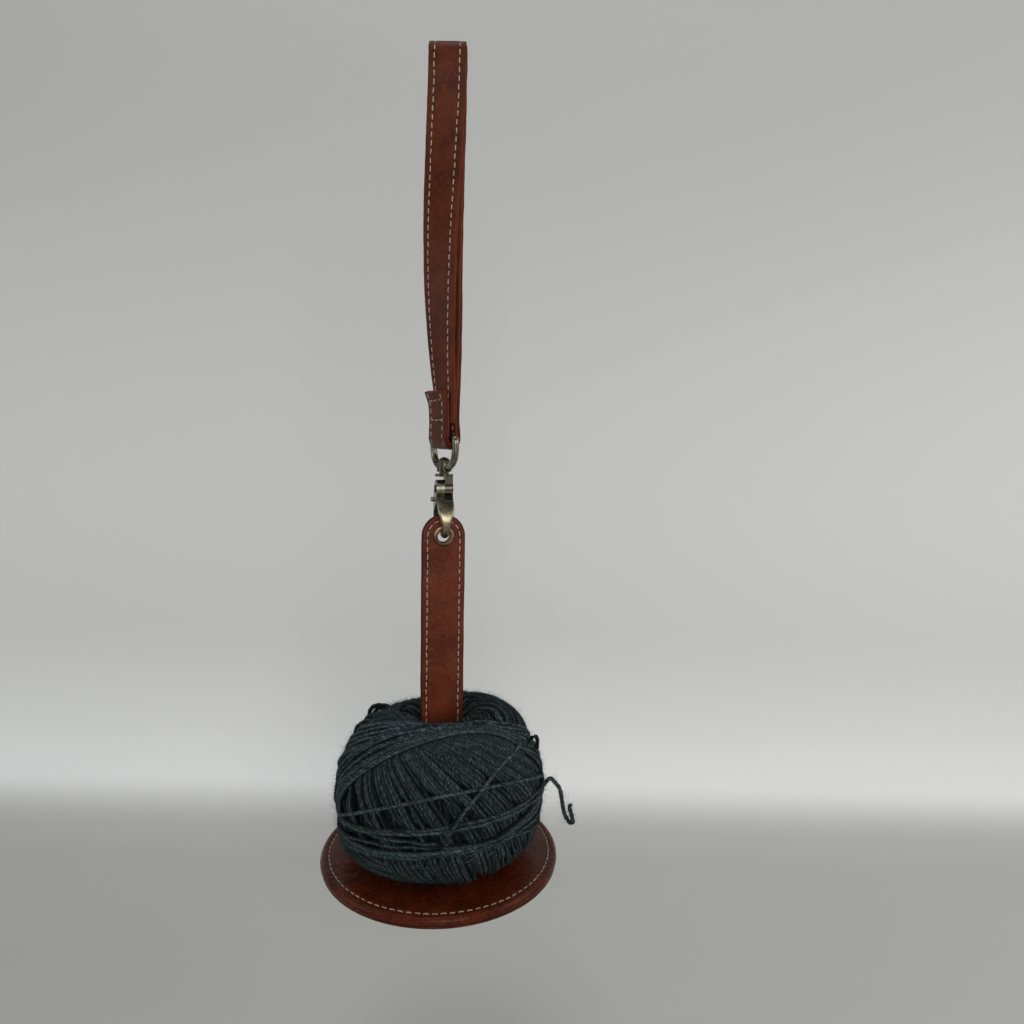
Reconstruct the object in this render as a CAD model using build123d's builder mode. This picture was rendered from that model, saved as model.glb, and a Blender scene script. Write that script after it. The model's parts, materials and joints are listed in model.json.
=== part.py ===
"""Hanging yarn holder: a leather wrist loop, a swivel snap, and a leather post on a round base.

A ball of yarn is threaded on the post and rests on the base. Millimetres, +Z up, -Y is the front.
The origin is the centre of the base's underside.

The snap, the post, the base and the ball are drawn square to the axes and turned about Z by
LOWER_YAW when they are exported. The swivel eye is turned by -LOOP_YAW, and the loop twists from
0 at its top to -LOOP_YAW at its foot.
"""

import os
from math import cos, radians, sin

from build123d import *

# Rest attitude
LOWER_YAW = 14.0
LOOP_YAW = 57.0

# Base: two leather faces over a stiff board
BASE_RADIUS = 70.0
BASE_HEIGHT = 6.4
LEATHER = 1.6
BASE_EDGE_ROUND = 2.2
SOLE_RADIUS = 69.5
SOLE_TOP = 1.7
SOLE_EDGE_ROUND = 0.5
BOARD_GAP = 0.05
BASE_SEAM_RADIUS = 65.0
SEAM_WIDTH = 0.8
SEAM_GROOVE = 0.35
SOLE_GROOVE = 0.5
THREAD_PROUD = 0.1

# Post: two plies that part into feet under the base's top leather
POST_WIDTH = 25.0
POST_PLY = 1.7
POST_SEAM_INSET = 3.2
POST_SEAM_START = 0.6
POST_THREAD_DEPTH = 0.15
FOOT_REACH = 18.0
FOOT_BOTTOM = 2.9
SLOT_CLEARANCE = 0.2

# Eyelet near the post's round top
EYELET_Z = 194.0
EYELET_BORE = 3.5
EYELET_BARREL = 4.0
EYELET_FLANGE = 6.0
FLANGE_THICKNESS = 0.7
WASHER_THICKNESS = 0.45
LIP_RADIUS = 5.2
LIP_TOP = POST_PLY + WASHER_THICKNESS + 0.45
RIM_ROUND = 0.4
EYELET_BORE_ROUND = 0.3

# Snap hook: a round bar at the bottom, a broad spine at the front, a sprung trigger at the back
BAR_RADIUS = 2.1
BAR_Z = EYELET_Z + 1.3
BEND = 5.5
HOOK_REACH = 9.6
HOOK_HALF_WIDTH = 4.65
NOSE_TOP = 206.8
NOSE_STEP = 203.4
TIP_BOTTOM = 204.3
TIP_TOP = 206.4
TIP_BACK = 9.4
PIVOT = (1.0, 221.0)
BOSS_RADIUS = 5.2
PIN_RADIUS = 1.3
PIN_HEAD_RADIUS = 2.3
THUMB_STUD = (7.4, 214.4)
THUMB_STUD_RADIUS = 1.4
TAPER_START_Z = 209.0
TAPER_ROUND = 12.0
SPINE_ROUND = 1.2
SPLIT_GAP = 0.1
SHOULDER_Z = 214.3
COLLAR_RADIUS = 5.2
COLLAR = (228.2, 229.5)
COLLAR_POST_WIDTH = 6.4
NECK_TOP = 230.8
NECK_WALL = 1.2
NOSE_STEP_HEIGHT = 6.0
SPRING_POCKET = (3.0, 2.2)
RUNNING_GAP = 0.05
TRIGGER_FOOT_TOP = 211.0
THUMB_STUD_LENGTH = 1.9
THUMB_STUD_ROUND = 0.6
PIN_HEAD_HEIGHT = 0.7
PIN_HEAD_ROUND = 0.5
SPRING_WIRE = 0.25
SPRING_RADIUS = 2.2
SPRING_PITCH = 0.62
SPRING_LENGTH = 1.4
SPRING_START = 0.4

# Swivel eye and its stud
EYE_HALF_WIDTH = 13.0
EYE_WIRE = 2.0
EYE_BAR_Z = 250.0
EYE_BEND_Z = 246.0
EYE_FOOT_Z = 233.1
EYE_FOOT_BEND = 10.5
EYE_CORNER = 2.5
HUB = (230.9, 235.8)
HUB_RADIUS = 4.2
STUD_RADIUS = 1.55
STUD_HEAD_BASE = HUB[1] + 0.1
STUD_HEAD_RADIUS = 3.3
STUD_HEAD_HEIGHT = 3.2
STUD_HEAD_EDGE = 1.2
STUD_SOCKET = COLLAR[0] + 0.2

# Wrist loop: a strap of two plies, its ends sewn round the eye's bar
STRAP_WIDTH = 20.0
OUTER_PLY = 1.55
INNER_PLY = 1.4
GLUE_LINE = 0.05
STRAP = OUTER_PLY + INNER_PLY + GLUE_LINE
PEG_RADIUS = 4.0
LOOP_TOP = 460.0
BEND_Z = LOOP_TOP - PEG_RADIUS - STRAP
FOLD_RADIUS = 2.2
TWIST_START = 440.0
TWIST_END = 280.0
TWIST_EASE = 1.5
STRAP_SEAM = 6.7
BOX_STITCH = (259.5, 271.0)
STRAP_THREAD_SUNK = 0.25
STRAP_THREAD = 0.4

# Yarn
BALL_BOTTOM = BASE_HEIGHT + 0.15
BALL_BORE = (27.0, 6.4)
BALL_BORE_CORNER = 3.0
BALL_CRATER_Z = 86.0
BALL_FLAT_RADIUS = 38.0
BORE_HEIGHT = 110.0
TAIL_RADIUS = 1.15

os.makedirs("parts", exist_ok=True)


def export(piece, label, yaw=0.0):
    """Turns a finished piece about Z to its rest attitude and writes it as one node."""
    turned = piece.rotate(Axis.Z, yaw)
    turned.label = label
    export_step(turned, f"parts/{label}.step")


# ---------------------------------------------------------------- base

with BuildPart() as base_top_leather:
    with BuildSketch(Plane.XZ):
        with BuildLine():
            Polyline(
                (0, BASE_HEIGHT),
                (BASE_RADIUS, BASE_HEIGHT),
                (BASE_RADIUS, SOLE_TOP + BOARD_GAP),
                (BASE_RADIUS - LEATHER, SOLE_TOP + BOARD_GAP),
                (BASE_RADIUS - LEATHER, BASE_HEIGHT - LEATHER),
                (0, BASE_HEIGHT - LEATHER),
                close=True,
            )
        make_face()
    revolve(axis=Axis.Z)
    rim = base_top_leather.edges().filter_by(GeomType.CIRCLE).group_by(Axis.Z)[-1]
    fillet(rim, BASE_EDGE_ROUND)
    with BuildSketch(Plane.XY.offset(BASE_HEIGHT)):
        Circle(BASE_SEAM_RADIUS + SEAM_WIDTH / 2 + BOARD_GAP)
        Circle(BASE_SEAM_RADIUS - SEAM_WIDTH / 2 - BOARD_GAP, mode=Mode.SUBTRACT)
    extrude(amount=-SEAM_GROOVE, mode=Mode.SUBTRACT)
    with BuildSketch(Plane.XY.offset(BASE_HEIGHT)):
        Rectangle(POST_WIDTH + 2 * SLOT_CLEARANCE, 2 * (POST_PLY + SLOT_CLEARANCE))
    extrude(amount=-LEATHER, mode=Mode.SUBTRACT)

with BuildPart() as base_board:
    board_top = BASE_HEIGHT - LEATHER - BOARD_GAP
    board_bottom = SOLE_TOP + BOARD_GAP
    with BuildSketch(Plane.XY.offset(board_bottom)):
        Circle(BASE_RADIUS - LEATHER - BOARD_GAP)
    extrude(amount=board_top - board_bottom)
    with BuildSketch(Plane.XY.offset(FOOT_BOTTOM - BOARD_GAP)):
        Rectangle(POST_WIDTH + 1, 2 * FOOT_REACH + 1)
    extrude(amount=BASE_HEIGHT, mode=Mode.SUBTRACT)

with BuildPart() as base_sole_leather:
    with BuildSketch():
        Circle(SOLE_RADIUS)
    extrude(amount=SOLE_TOP)
    fillet(base_sole_leather.edges().filter_by(GeomType.CIRCLE).group_by(Axis.Z)[0], SOLE_EDGE_ROUND)
    with BuildSketch():
        Circle(BASE_SEAM_RADIUS + SEAM_WIDTH / 2 + BOARD_GAP)
        Circle(BASE_SEAM_RADIUS - SEAM_WIDTH / 2 - BOARD_GAP, mode=Mode.SUBTRACT)
    extrude(amount=SOLE_GROOVE, mode=Mode.SUBTRACT)

with BuildPart() as base_stitching:
    # the needle thread lies in the top groove and the bobbin thread in the sole's groove
    top_thread = (BASE_HEIGHT - SEAM_GROOVE, SEAM_GROOVE + THREAD_PROUD)
    sole_thread = (THREAD_PROUD, SOLE_GROOVE - THREAD_PROUD)
    for bottom, depth in (top_thread, sole_thread):
        with BuildSketch(Plane.XY.offset(bottom)):
            Circle(BASE_SEAM_RADIUS + SEAM_WIDTH / 2)
            Circle(BASE_SEAM_RADIUS - SEAM_WIDTH / 2, mode=Mode.SUBTRACT)
        extrude(amount=depth)

# ---------------------------------------------------------------- post


def post_ply(side):
    """One ply of the post: side -1 is the front ply, +1 the back one. Its foot turns outwards."""
    foot_top = BASE_HEIGHT - LEATHER - BOARD_GAP
    with BuildPart() as ply:
        with BuildSketch(Plane.YZ):
            with BuildLine():
                Polyline(
                    (0, FOOT_BOTTOM),
                    (side * FOOT_REACH, FOOT_BOTTOM),
                    (side * FOOT_REACH, foot_top),
                    (side * POST_PLY, foot_top),
                    (side * POST_PLY, EYELET_Z + POST_WIDTH),
                    (0, EYELET_Z + POST_WIDTH),
                    close=True,
                )
            make_face()
        extrude(amount=POST_WIDTH, both=True)
        with BuildSketch(Plane.XZ):
            with Locations((0, EYELET_Z / 2)):
                Rectangle(POST_WIDTH, EYELET_Z)
            with Locations((0, EYELET_Z)):
                Circle(POST_WIDTH / 2)
                Circle(EYELET_BARREL + BOARD_GAP, mode=Mode.SUBTRACT)
        extrude(amount=2 * FOOT_REACH, both=True, mode=Mode.INTERSECT)
    return ply.part


post_front_ply = post_ply(-1)
post_back_ply = post_ply(1)

with BuildPart() as post_stitching:
    # an arch of thread on each face, from the base up one edge, round the top and down the other
    arch = POST_WIDTH / 2 - POST_SEAM_INSET
    low = BASE_HEIGHT + POST_SEAM_START
    for face in (-1, 1):
        with BuildSketch(Plane.XZ.offset(-face * POST_PLY)):
            outline = (arch + SEAM_WIDTH / 2, Mode.ADD)
            inside = (arch - SEAM_WIDTH / 2, Mode.SUBTRACT)
            for radius, mode in (outline, inside):
                with Locations((0, EYELET_Z)):
                    Circle(radius, mode=mode)
                with Locations((0, (low + EYELET_Z) / 2)):
                    Rectangle(2 * radius, EYELET_Z - low, mode=mode)
        extrude(amount=POST_THREAD_DEPTH, both=True)

with BuildPart() as eyelet:
    with BuildSketch(Plane.XY):
        with BuildLine():
            Polyline(
                (EYELET_BORE, -POST_PLY - FLANGE_THICKNESS),
                (EYELET_FLANGE - RIM_ROUND, -POST_PLY - FLANGE_THICKNESS),
                (EYELET_FLANGE, -POST_PLY),
                (EYELET_BARREL, -POST_PLY),
                (EYELET_BARREL, POST_PLY + WASHER_THICKNESS),
                (LIP_RADIUS, POST_PLY + WASHER_THICKNESS),
                (LIP_RADIUS - EYELET_BORE_ROUND, LIP_TOP),
                (EYELET_BORE, LIP_TOP),
                close=True,
            )
        make_face()
    revolve(axis=Axis.Y)
    rings = eyelet.edges().filter_by(GeomType.CIRCLE)
    fillet(rings.filter_by(lambda e: abs(e.radius - EYELET_BORE) < 0.01), EYELET_BORE_ROUND)

with BuildPart() as eyelet_washer:
    with BuildSketch(Plane.XZ.offset(-POST_PLY - WASHER_THICKNESS)):
        Circle(EYELET_FLANGE)
        Circle(EYELET_BARREL + BOARD_GAP, mode=Mode.SUBTRACT)
    extrude(amount=WASHER_THICKNESS)

# ---------------------------------------------------------------- snap hook

PIVOT_Y, PIVOT_Z = PIVOT
BEND_CENTRE_Y = HOOK_REACH - BEND
BEND_CENTRE_Z = BAR_Z + BEND

with BuildPart() as hook_body:
    # spine: its side outline, then its front outline cuts the broad shoulder down to the bar
    with BuildSketch(Plane.YZ):
        with BuildLine():
            Spline((-4.2, 222.0), (-7.6, 214.5), (-11.2, 207.0), (-HOOK_REACH - BAR_RADIUS, BEND_CENTRE_Z))
            Line((-HOOK_REACH - BAR_RADIUS, BEND_CENTRE_Z), (-HOOK_REACH + BAR_RADIUS, BEND_CENTRE_Z))
            Spline((-HOOK_REACH + BAR_RADIUS, BEND_CENTRE_Z), (-7.2, 208.0), (-4.4, 213.4), (-0.5, 217.0))
            Line((-0.5, 217.0), (-4.2, 222.0))
        make_face()
    extrude(amount=HOOK_HALF_WIDTH, both=True)
    with BuildSketch(Plane.XZ):
        with BuildLine():
            Polyline(
                (-HOOK_HALF_WIDTH, 224.0),
                (-HOOK_HALF_WIDTH, TAPER_START_Z),
                (-BAR_RADIUS, BEND_CENTRE_Z),
                (BAR_RADIUS, BEND_CENTRE_Z),
                (HOOK_HALF_WIDTH, TAPER_START_Z),
                (HOOK_HALF_WIDTH, 224.0),
                close=True,
            )
        make_face()
        fillet(vertices().filter_by(lambda v: abs(v.Y - TAPER_START_Z) < 0.01), TAPER_ROUND)
    extrude(amount=20, both=True, mode=Mode.INTERSECT)
    long_edges = hook_body.edges().filter_by(lambda e: abs(e.center().X) > BAR_RADIUS and e.length > 4)
    fillet(long_edges.filter_by(lambda e: e.center().Y < -4), SPINE_ROUND)
    # the spine ends in a flat shoulder under the joint
    with BuildSketch(Plane.XY.offset(SHOULDER_Z)):
        Rectangle(30, 40)
    extrude(amount=20, mode=Mode.SUBTRACT)
    # cheek on the right half: the joint's boss, the web down to the spine, and the post to the collar
    with BuildSketch(Plane.YZ.offset(SPLIT_GAP / 2)):
        with Locations(PIVOT):
            Circle(BOSS_RADIUS)
        with Locations((0, (PIVOT_Z + COLLAR[0]) / 2)):
            Rectangle(COLLAR_POST_WIDTH, COLLAR[0] - PIVOT_Z)
        with BuildLine():
            Polyline(
                (-5.8, SHOULDER_Z - 1.0),
                (PIVOT_Y - 4.0, PIVOT_Z - 3.2),
                (PIVOT_Y + 3.0, PIVOT_Z - 4.0),
                (PIVOT_Y, SHOULDER_Z - 1.0),
                close=True,
            )
        make_face()
    extrude(amount=HOOK_HALF_WIDTH - SPLIT_GAP / 2)
    with BuildSketch(Plane.XY.offset(COLLAR[0])):
        Circle(COLLAR_RADIUS)
    extrude(amount=COLLAR[1] - COLLAR[0])
    with BuildSketch(Plane.XY.offset(COLLAR[1])):
        Circle(STUD_RADIUS + NECK_WALL)
    extrude(amount=NECK_TOP - COLLAR[1])
    # round bar: down the front, under, and up to the nose at the back
    with BuildLine(Plane.YZ) as bar_line:
        Line((-HOOK_REACH, BEND_CENTRE_Z + 2), (-HOOK_REACH, BEND_CENTRE_Z))
        CenterArc((-BEND_CENTRE_Y, BEND_CENTRE_Z), BEND, 180, 90)
        Line((-BEND_CENTRE_Y, BAR_Z), (BEND_CENTRE_Y, BAR_Z))
        CenterArc((BEND_CENTRE_Y, BEND_CENTRE_Z), BEND, 270, 90)
        Line((HOOK_REACH, BEND_CENTRE_Z), (HOOK_REACH, NOSE_TOP))
    with BuildSketch(Plane((0, -HOOK_REACH, BEND_CENTRE_Z + 2), z_dir=(0, 0, -1))):
        Circle(BAR_RADIUS)
    sweep(path=bar_line.wire())
    # step that the trigger's tip closes into
    with BuildSketch(Plane.YZ):
        with Locations((HOOK_REACH - BAR_RADIUS / 2 - 0.1, NOSE_STEP + NOSE_STEP_HEIGHT / 2)):
            Rectangle(BAR_RADIUS + 0.2, NOSE_STEP_HEIGHT)
    extrude(amount=BAR_RADIUS + 1, both=True, mode=Mode.SUBTRACT)
    # bores for the stud and the pin, and the spring's pocket
    with BuildSketch(Plane.XY.offset(STUD_SOCKET)):
        Circle(STUD_RADIUS)
    extrude(amount=5, mode=Mode.SUBTRACT)
    for radius, depth in ((PIN_RADIUS, 10), SPRING_POCKET):
        with BuildSketch(Plane.YZ):
            with Locations(PIVOT):
                Circle(radius)
        extrude(amount=depth, mode=Mode.SUBTRACT)

with BuildPart() as swivel_stud:
    with BuildSketch(Plane.XZ):
        with BuildLine():
            Polyline(
                (0, STUD_HEAD_BASE + STUD_HEAD_HEIGHT),
                (0, STUD_SOCKET),
                (STUD_RADIUS, STUD_SOCKET),
                (STUD_RADIUS, STUD_HEAD_BASE),
                (STUD_HEAD_RADIUS, STUD_HEAD_BASE),
                (STUD_HEAD_RADIUS, STUD_HEAD_BASE + STUD_HEAD_EDGE),
            )
            TangentArc(
                (0, STUD_HEAD_BASE + STUD_HEAD_HEIGHT),
                (STUD_HEAD_RADIUS, STUD_HEAD_BASE + STUD_HEAD_EDGE),
                tangent=(1, 0),
            )
        make_face()
    revolve(axis=Axis.Z)

with BuildPart() as trigger:
    # eye, half as wide as the hook, and the arm that reaches down to the nose
    with BuildSketch(Plane.YZ.offset(-HOOK_HALF_WIDTH)):
        with Locations(PIVOT):
            Circle(BOSS_RADIUS)
        with BuildLine():
            Polyline(
                (4.0, 225.2),
                (PIVOT_Y - 3.0, PIVOT_Z - 4.0),
                (0.2, 213.0),
                (5.4, 208.6),
                (7.6, TIP_TOP),
                (TIP_BACK, TIP_TOP),
            )
            Spline((TIP_BACK, TIP_TOP), (9.6, 213.0), (8.0, 219.5), (4.0, 225.2))
        make_face()
    extrude(amount=HOOK_HALF_WIDTH - SPLIT_GAP / 2)
    # the arm's foot turns in behind the nose
    with BuildSketch(Plane.YZ.offset(-HOOK_HALF_WIDTH)):
        with BuildLine():
            Polyline(
                (6.6, TRIGGER_FOOT_TOP),
                (7.6, TIP_BOTTOM),
                (TIP_BACK, TIP_BOTTOM),
                (TIP_BACK, TRIGGER_FOOT_TOP),
                close=True,
            )
        make_face()
    extrude(amount=HOOK_HALF_WIDTH + BAR_RADIUS - 0.2)
    # thumb stud on the outer cheek
    with BuildSketch(Plane.YZ.offset(-HOOK_HALF_WIDTH)):
        with Locations(THUMB_STUD):
            Circle(THUMB_STUD_RADIUS)
    extrude(amount=-THUMB_STUD_LENGTH)
    fillet(trigger.faces().sort_by(Axis.X)[0].edges(), THUMB_STUD_ROUND)
    with BuildSketch(Plane.YZ.offset(-HOOK_HALF_WIDTH)):
        with Locations(PIVOT):
            Circle(PIN_RADIUS + RUNNING_GAP)
    extrude(amount=HOOK_HALF_WIDTH, mode=Mode.SUBTRACT)

with BuildPart() as trigger_pin:
    with BuildSketch(Plane.YZ.offset(-HOOK_HALF_WIDTH)):
        with Locations(PIVOT):
            Circle(PIN_RADIUS)
    extrude(amount=2 * HOOK_HALF_WIDTH)
    left_head = (-HOOK_HALF_WIDTH - RUNNING_GAP, -PIN_HEAD_HEIGHT)
    right_head = (HOOK_HALF_WIDTH, PIN_HEAD_HEIGHT)
    for x, reach in (left_head, right_head):
        with BuildSketch(Plane.YZ.offset(x)):
            with Locations(PIVOT):
                Circle(PIN_HEAD_RADIUS)
        extrude(amount=reach)
    fillet(trigger_pin.faces().sort_by(Axis.X)[0].edges(), PIN_HEAD_ROUND)
    fillet(trigger_pin.faces().sort_by(Axis.X)[-1].edges(), PIN_HEAD_ROUND)
    # the head's shank crosses the running gap
    with BuildSketch(Plane.YZ.offset(-HOOK_HALF_WIDTH - RUNNING_GAP)):
        with Locations(PIVOT):
            Circle(PIN_RADIUS)
    extrude(amount=2 * RUNNING_GAP)

with BuildPart() as trigger_spring:
    # torsion coil round the pin, in the cheek's pocket
    with BuildLine():
        start = (SPRING_START, PIVOT_Y, PIVOT_Z)
        coil = Helix(SPRING_PITCH, SPRING_LENGTH, SPRING_RADIUS, center=start, direction=(1, 0, 0))
    with BuildSketch(Plane(coil @ 0, z_dir=coil % 0)):
        Circle(SPRING_WIRE)
    sweep(path=coil)

# ---------------------------------------------------------------- swivel eye

with BuildPart() as swivel_eye:
    with BuildLine(Plane.XZ) as eye_line:
        Polyline(
            (EYE_HALF_WIDTH, EYE_BEND_Z),
            (EYE_HALF_WIDTH, EYE_BAR_Z),
            (-EYE_HALF_WIDTH, EYE_BAR_Z),
            (-EYE_HALF_WIDTH, EYE_FOOT_Z),
            (EYE_HALF_WIDTH, EYE_FOOT_Z),
            close=True,
        )
        fillet(eye_line.vertices().group_by(Axis.Z)[-1], EYE_CORNER)
        fillet(eye_line.vertices().group_by(Axis.Z)[0], EYE_FOOT_BEND)
    with BuildSketch(Plane((EYE_HALF_WIDTH, 0, EYE_BEND_Z))):
        Circle(EYE_WIRE)
    sweep(path=eye_line.wire())
    with BuildSketch(Plane.XY.offset(HUB[0])):
        Circle(HUB_RADIUS)
    extrude(amount=HUB[1] - HUB[0])
    with BuildSketch(Plane.XY.offset(HUB[0])):
        Circle(STUD_RADIUS + RUNNING_GAP)
    extrude(amount=HUB[1] - HUB[0] + 1, mode=Mode.SUBTRACT)

# ---------------------------------------------------------------- wrist loop

# (height, centre of the front leg, centre of the back leg), measured forward of the loop's middle
FOLD_OFFSET = FOLD_RADIUS + STRAP / 2
STACK_OFFSET = STRAP + 0.05
LEGS = (
    (EYE_BAR_Z, 0.0, -FOLD_OFFSET),
    (EYE_BAR_Z + 3, 0.0, -FOLD_OFFSET),
    (EYE_BAR_Z + 9, 0.0, -STACK_OFFSET),
    (276.0, 0.0, -STACK_OFFSET),
    (300.0, 1.8, -3.2),
    (340.0, 3.2, -3.5),
    (400.0, 3.7, -3.9),
    (446.0, PEG_RADIUS + STRAP / 2, -PEG_RADIUS - STRAP / 2),
    (BEND_Z, PEG_RADIUS + STRAP / 2, -PEG_RADIUS - STRAP / 2),
)
TAB = (
    (EYE_BAR_Z, FOLD_OFFSET),
    (EYE_BAR_Z + 3, FOLD_OFFSET),
    (EYE_BAR_Z + 9, STACK_OFFSET),
    (BOX_STITCH[1], STACK_OFFSET),
    (275.5, STACK_OFFSET + 1.3),
)
FRONT_LEG_END = 258.0


def twist(z):
    """Turn of the strap about Z at height z, in degrees, clockwise seen from above."""
    share = min(max((TWIST_START - z) / (TWIST_START - TWIST_END), 0.0), 1.0)
    return LOOP_YAW * share**TWIST_EASE


def leg_offset(z, column):
    """Centre of a leg at height z: column 1 is the front leg, 2 the back one."""
    for low, high in zip(LEGS, LEGS[1:]):
        if low[0] <= z <= high[0]:
            share = (z - low[0]) / (high[0] - low[0])
            return low[column] + share * (high[column] - low[column])
    raise ValueError(f"no leg at height {z}")


def leg_stations(bottom, column):
    """Heights and centres of one leg: its own corners, and a station each 10 mm where it twists."""
    turning = [TWIST_END + 10 * i for i in range(17)]
    heights = sorted({bottom, *(row[0] for row in LEGS if row[0] > bottom), *turning})
    return [(z, leg_offset(z, column)) for z in heights]


def strip(stations, shift, thickness, width=STRAP_WIDTH, side=0.0):
    """A lofted strip along (height, centre) stations. shift moves it forward, side along the width."""
    with BuildPart() as piece:
        for z, centre in stations:
            with BuildSketch(Plane((0, 0, z)).rotated((0, 0, -twist(z)))):
                with Locations((side, -centre - shift)):
                    Rectangle(width, thickness)
        loft(ruled=True)
    return piece.part


def half_ring(upward, inner, thickness, width=STRAP_WIDTH, side=0.0):
    """Half a ring of strap: over the peg at the loop's top, or under the eye's bar at its foot."""
    z, yaw, turn = (BEND_Z, 0.0, 0) if upward else (EYE_BAR_Z, radians(-LOOP_YAW), 180)
    across = Vector(cos(yaw), sin(yaw), 0)
    forward = Vector(sin(yaw), -cos(yaw), 0)
    with BuildPart() as piece:
        with BuildSketch(Plane(Vector(0, 0, z) + across * side, x_dir=forward, z_dir=-across)):
            with BuildLine():
                CenterArc((0, 0), inner + thickness, turn, 180)
                CenterArc((0, 0), inner, turn, 180)
                Line((inner, 0), (inner + thickness, 0))
                Line((-inner, 0), (-inner - thickness, 0))
            make_face()
        extrude(amount=width / 2, both=True)
    return piece.part


def ply(inside, thickness, width=STRAP_WIDTH, side=0.0):
    """One layer of the whole strap. inside is how far its inner face lies from the strap's inner face."""
    shift = inside + thickness / 2 - STRAP / 2
    pieces = (
        strip(leg_stations(FRONT_LEG_END, 1), shift, thickness, width, side),
        strip(leg_stations(EYE_BAR_Z, 2), -shift, thickness, width, side),
        strip(TAB, shift, thickness, width, side),
        half_ring(True, PEG_RADIUS + inside, thickness, width, side),
        half_ring(False, FOLD_RADIUS + inside, thickness, width, side),
    )
    with BuildPart() as layer:
        for piece in pieces:
            add(piece)
    return layer.part


strap_lining = ply(0.0, INNER_PLY)
strap_outer_leather = ply(INNER_PLY + GLUE_LINE, OUTER_PLY)

def tie_row(z):
    """A row of thread straight across the tab at height z, between the two seams."""
    ends = [(z - SEAM_WIDTH / 2, STACK_OFFSET), (z + SEAM_WIDTH / 2, STACK_OFFSET)]
    return strip(ends, STRAP / 2, STRAP_THREAD, 2 * STRAP_SEAM)


with BuildPart() as strap_stitching:
    for seam_side in (-STRAP_SEAM, STRAP_SEAM):
        add(ply(STRAP - STRAP_THREAD_SUNK, STRAP_THREAD, SEAM_WIDTH, seam_side))
    for height in BOX_STITCH:
        add(tie_row(height))

# ---------------------------------------------------------------- yarn

with BuildPart() as yarn_ball:
    with BuildSketch(Plane.XZ):
        with BuildLine():
            Line((0, BALL_CRATER_Z), (0, BALL_BOTTOM))
            Line((0, BALL_BOTTOM), (BALL_FLAT_RADIUS, BALL_BOTTOM))
            Spline(
                (BALL_FLAT_RADIUS, BALL_BOTTOM),
                (58, 26),
                (62, 48),
                (51, 80),
                (28, 96),
                (0, BALL_CRATER_Z),
                tangents=((1, 0.25), (-1, -0.7)),
            )
        make_face()
    revolve(axis=Axis.Z)
    with BuildSketch(Plane.XY):
        RectangleRounded(*BALL_BORE, BALL_BORE_CORNER)
    extrude(amount=BORE_HEIGHT, mode=Mode.SUBTRACT)

with BuildPart() as yarn_tail:
    # the loose end leaves the ball on the right, arches over and hangs with its tip curled back
    with BuildLine(Plane.XZ) as tail_line:
        hang = Spline((62.8, 47.5), (65.1, 49.9), (71.0, 42.8), (72.4, 36.0), (74.9, 24.7))
        bend = TangentArc(hang @ 1, (79.4, 24.9), tangent=hang % 1)
        Spline(bend @ 1, (78.4, 29.2), (77.8, 33.4), tangents=(bend % 1, Vector(0, 0, 1)))
    with BuildSketch(Plane(tail_line.wire() @ 0, z_dir=tail_line.wire() % 0)):
        Circle(TAIL_RADIUS)
    sweep(path=tail_line.wire())

# ---------------------------------------------------------------- nodes

export(base_top_leather.part, "base_top_leather", LOWER_YAW)
export(base_board.part, "base_board", LOWER_YAW)
export(base_sole_leather.part, "base_sole_leather", LOWER_YAW)
export(base_stitching.part, "base_stitching", LOWER_YAW)
export(post_front_ply, "post_front_ply", LOWER_YAW)
export(post_back_ply, "post_back_ply", LOWER_YAW)
export(post_stitching.part, "post_stitching", LOWER_YAW)
export(eyelet.part.translate((0, 0, EYELET_Z)), "eyelet", LOWER_YAW)
export(eyelet_washer.part.translate((0, 0, EYELET_Z)), "eyelet_washer", LOWER_YAW)
export(hook_body.part, "hook_body", LOWER_YAW)
export(swivel_stud.part, "swivel_stud", LOWER_YAW)
export(trigger.part, "trigger", LOWER_YAW)
export(trigger_pin.part, "trigger_pin", LOWER_YAW)
export(trigger_spring.part, "trigger_spring", LOWER_YAW)
export(swivel_eye.part, "swivel_eye", -LOOP_YAW)
export(strap_lining, "strap_lining")
export(strap_outer_leather, "strap_outer_leather")
export(strap_stitching.part, "strap_stitching")
export(yarn_ball.part, "yarn_ball", LOWER_YAW)
export(yarn_tail.part, "yarn_tail")
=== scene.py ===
"""The looks of the hanging yarn holder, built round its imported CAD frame. Blender 4.5.

Lengths are in millimetres and turned into metres when a mesh is made. +Z is up, -Y is the front. Places
that the frame fixes are read from it. Colours are linear red, green and blue.
"""

import json
from math import atan2, cos, hypot, pi, radians, sin, sqrt

import bmesh
import bpy
import numpy as np
from mathutils import Matrix, Vector


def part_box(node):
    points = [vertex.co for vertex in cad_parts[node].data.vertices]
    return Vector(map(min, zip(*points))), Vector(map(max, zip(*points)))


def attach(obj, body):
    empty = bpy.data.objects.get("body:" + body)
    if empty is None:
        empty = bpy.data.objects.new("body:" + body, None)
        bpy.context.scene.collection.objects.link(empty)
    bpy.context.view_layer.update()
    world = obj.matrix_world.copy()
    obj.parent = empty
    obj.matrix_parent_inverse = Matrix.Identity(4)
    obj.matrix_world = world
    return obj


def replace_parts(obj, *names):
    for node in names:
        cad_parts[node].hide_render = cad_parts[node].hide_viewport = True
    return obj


MM = 0.001

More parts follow.
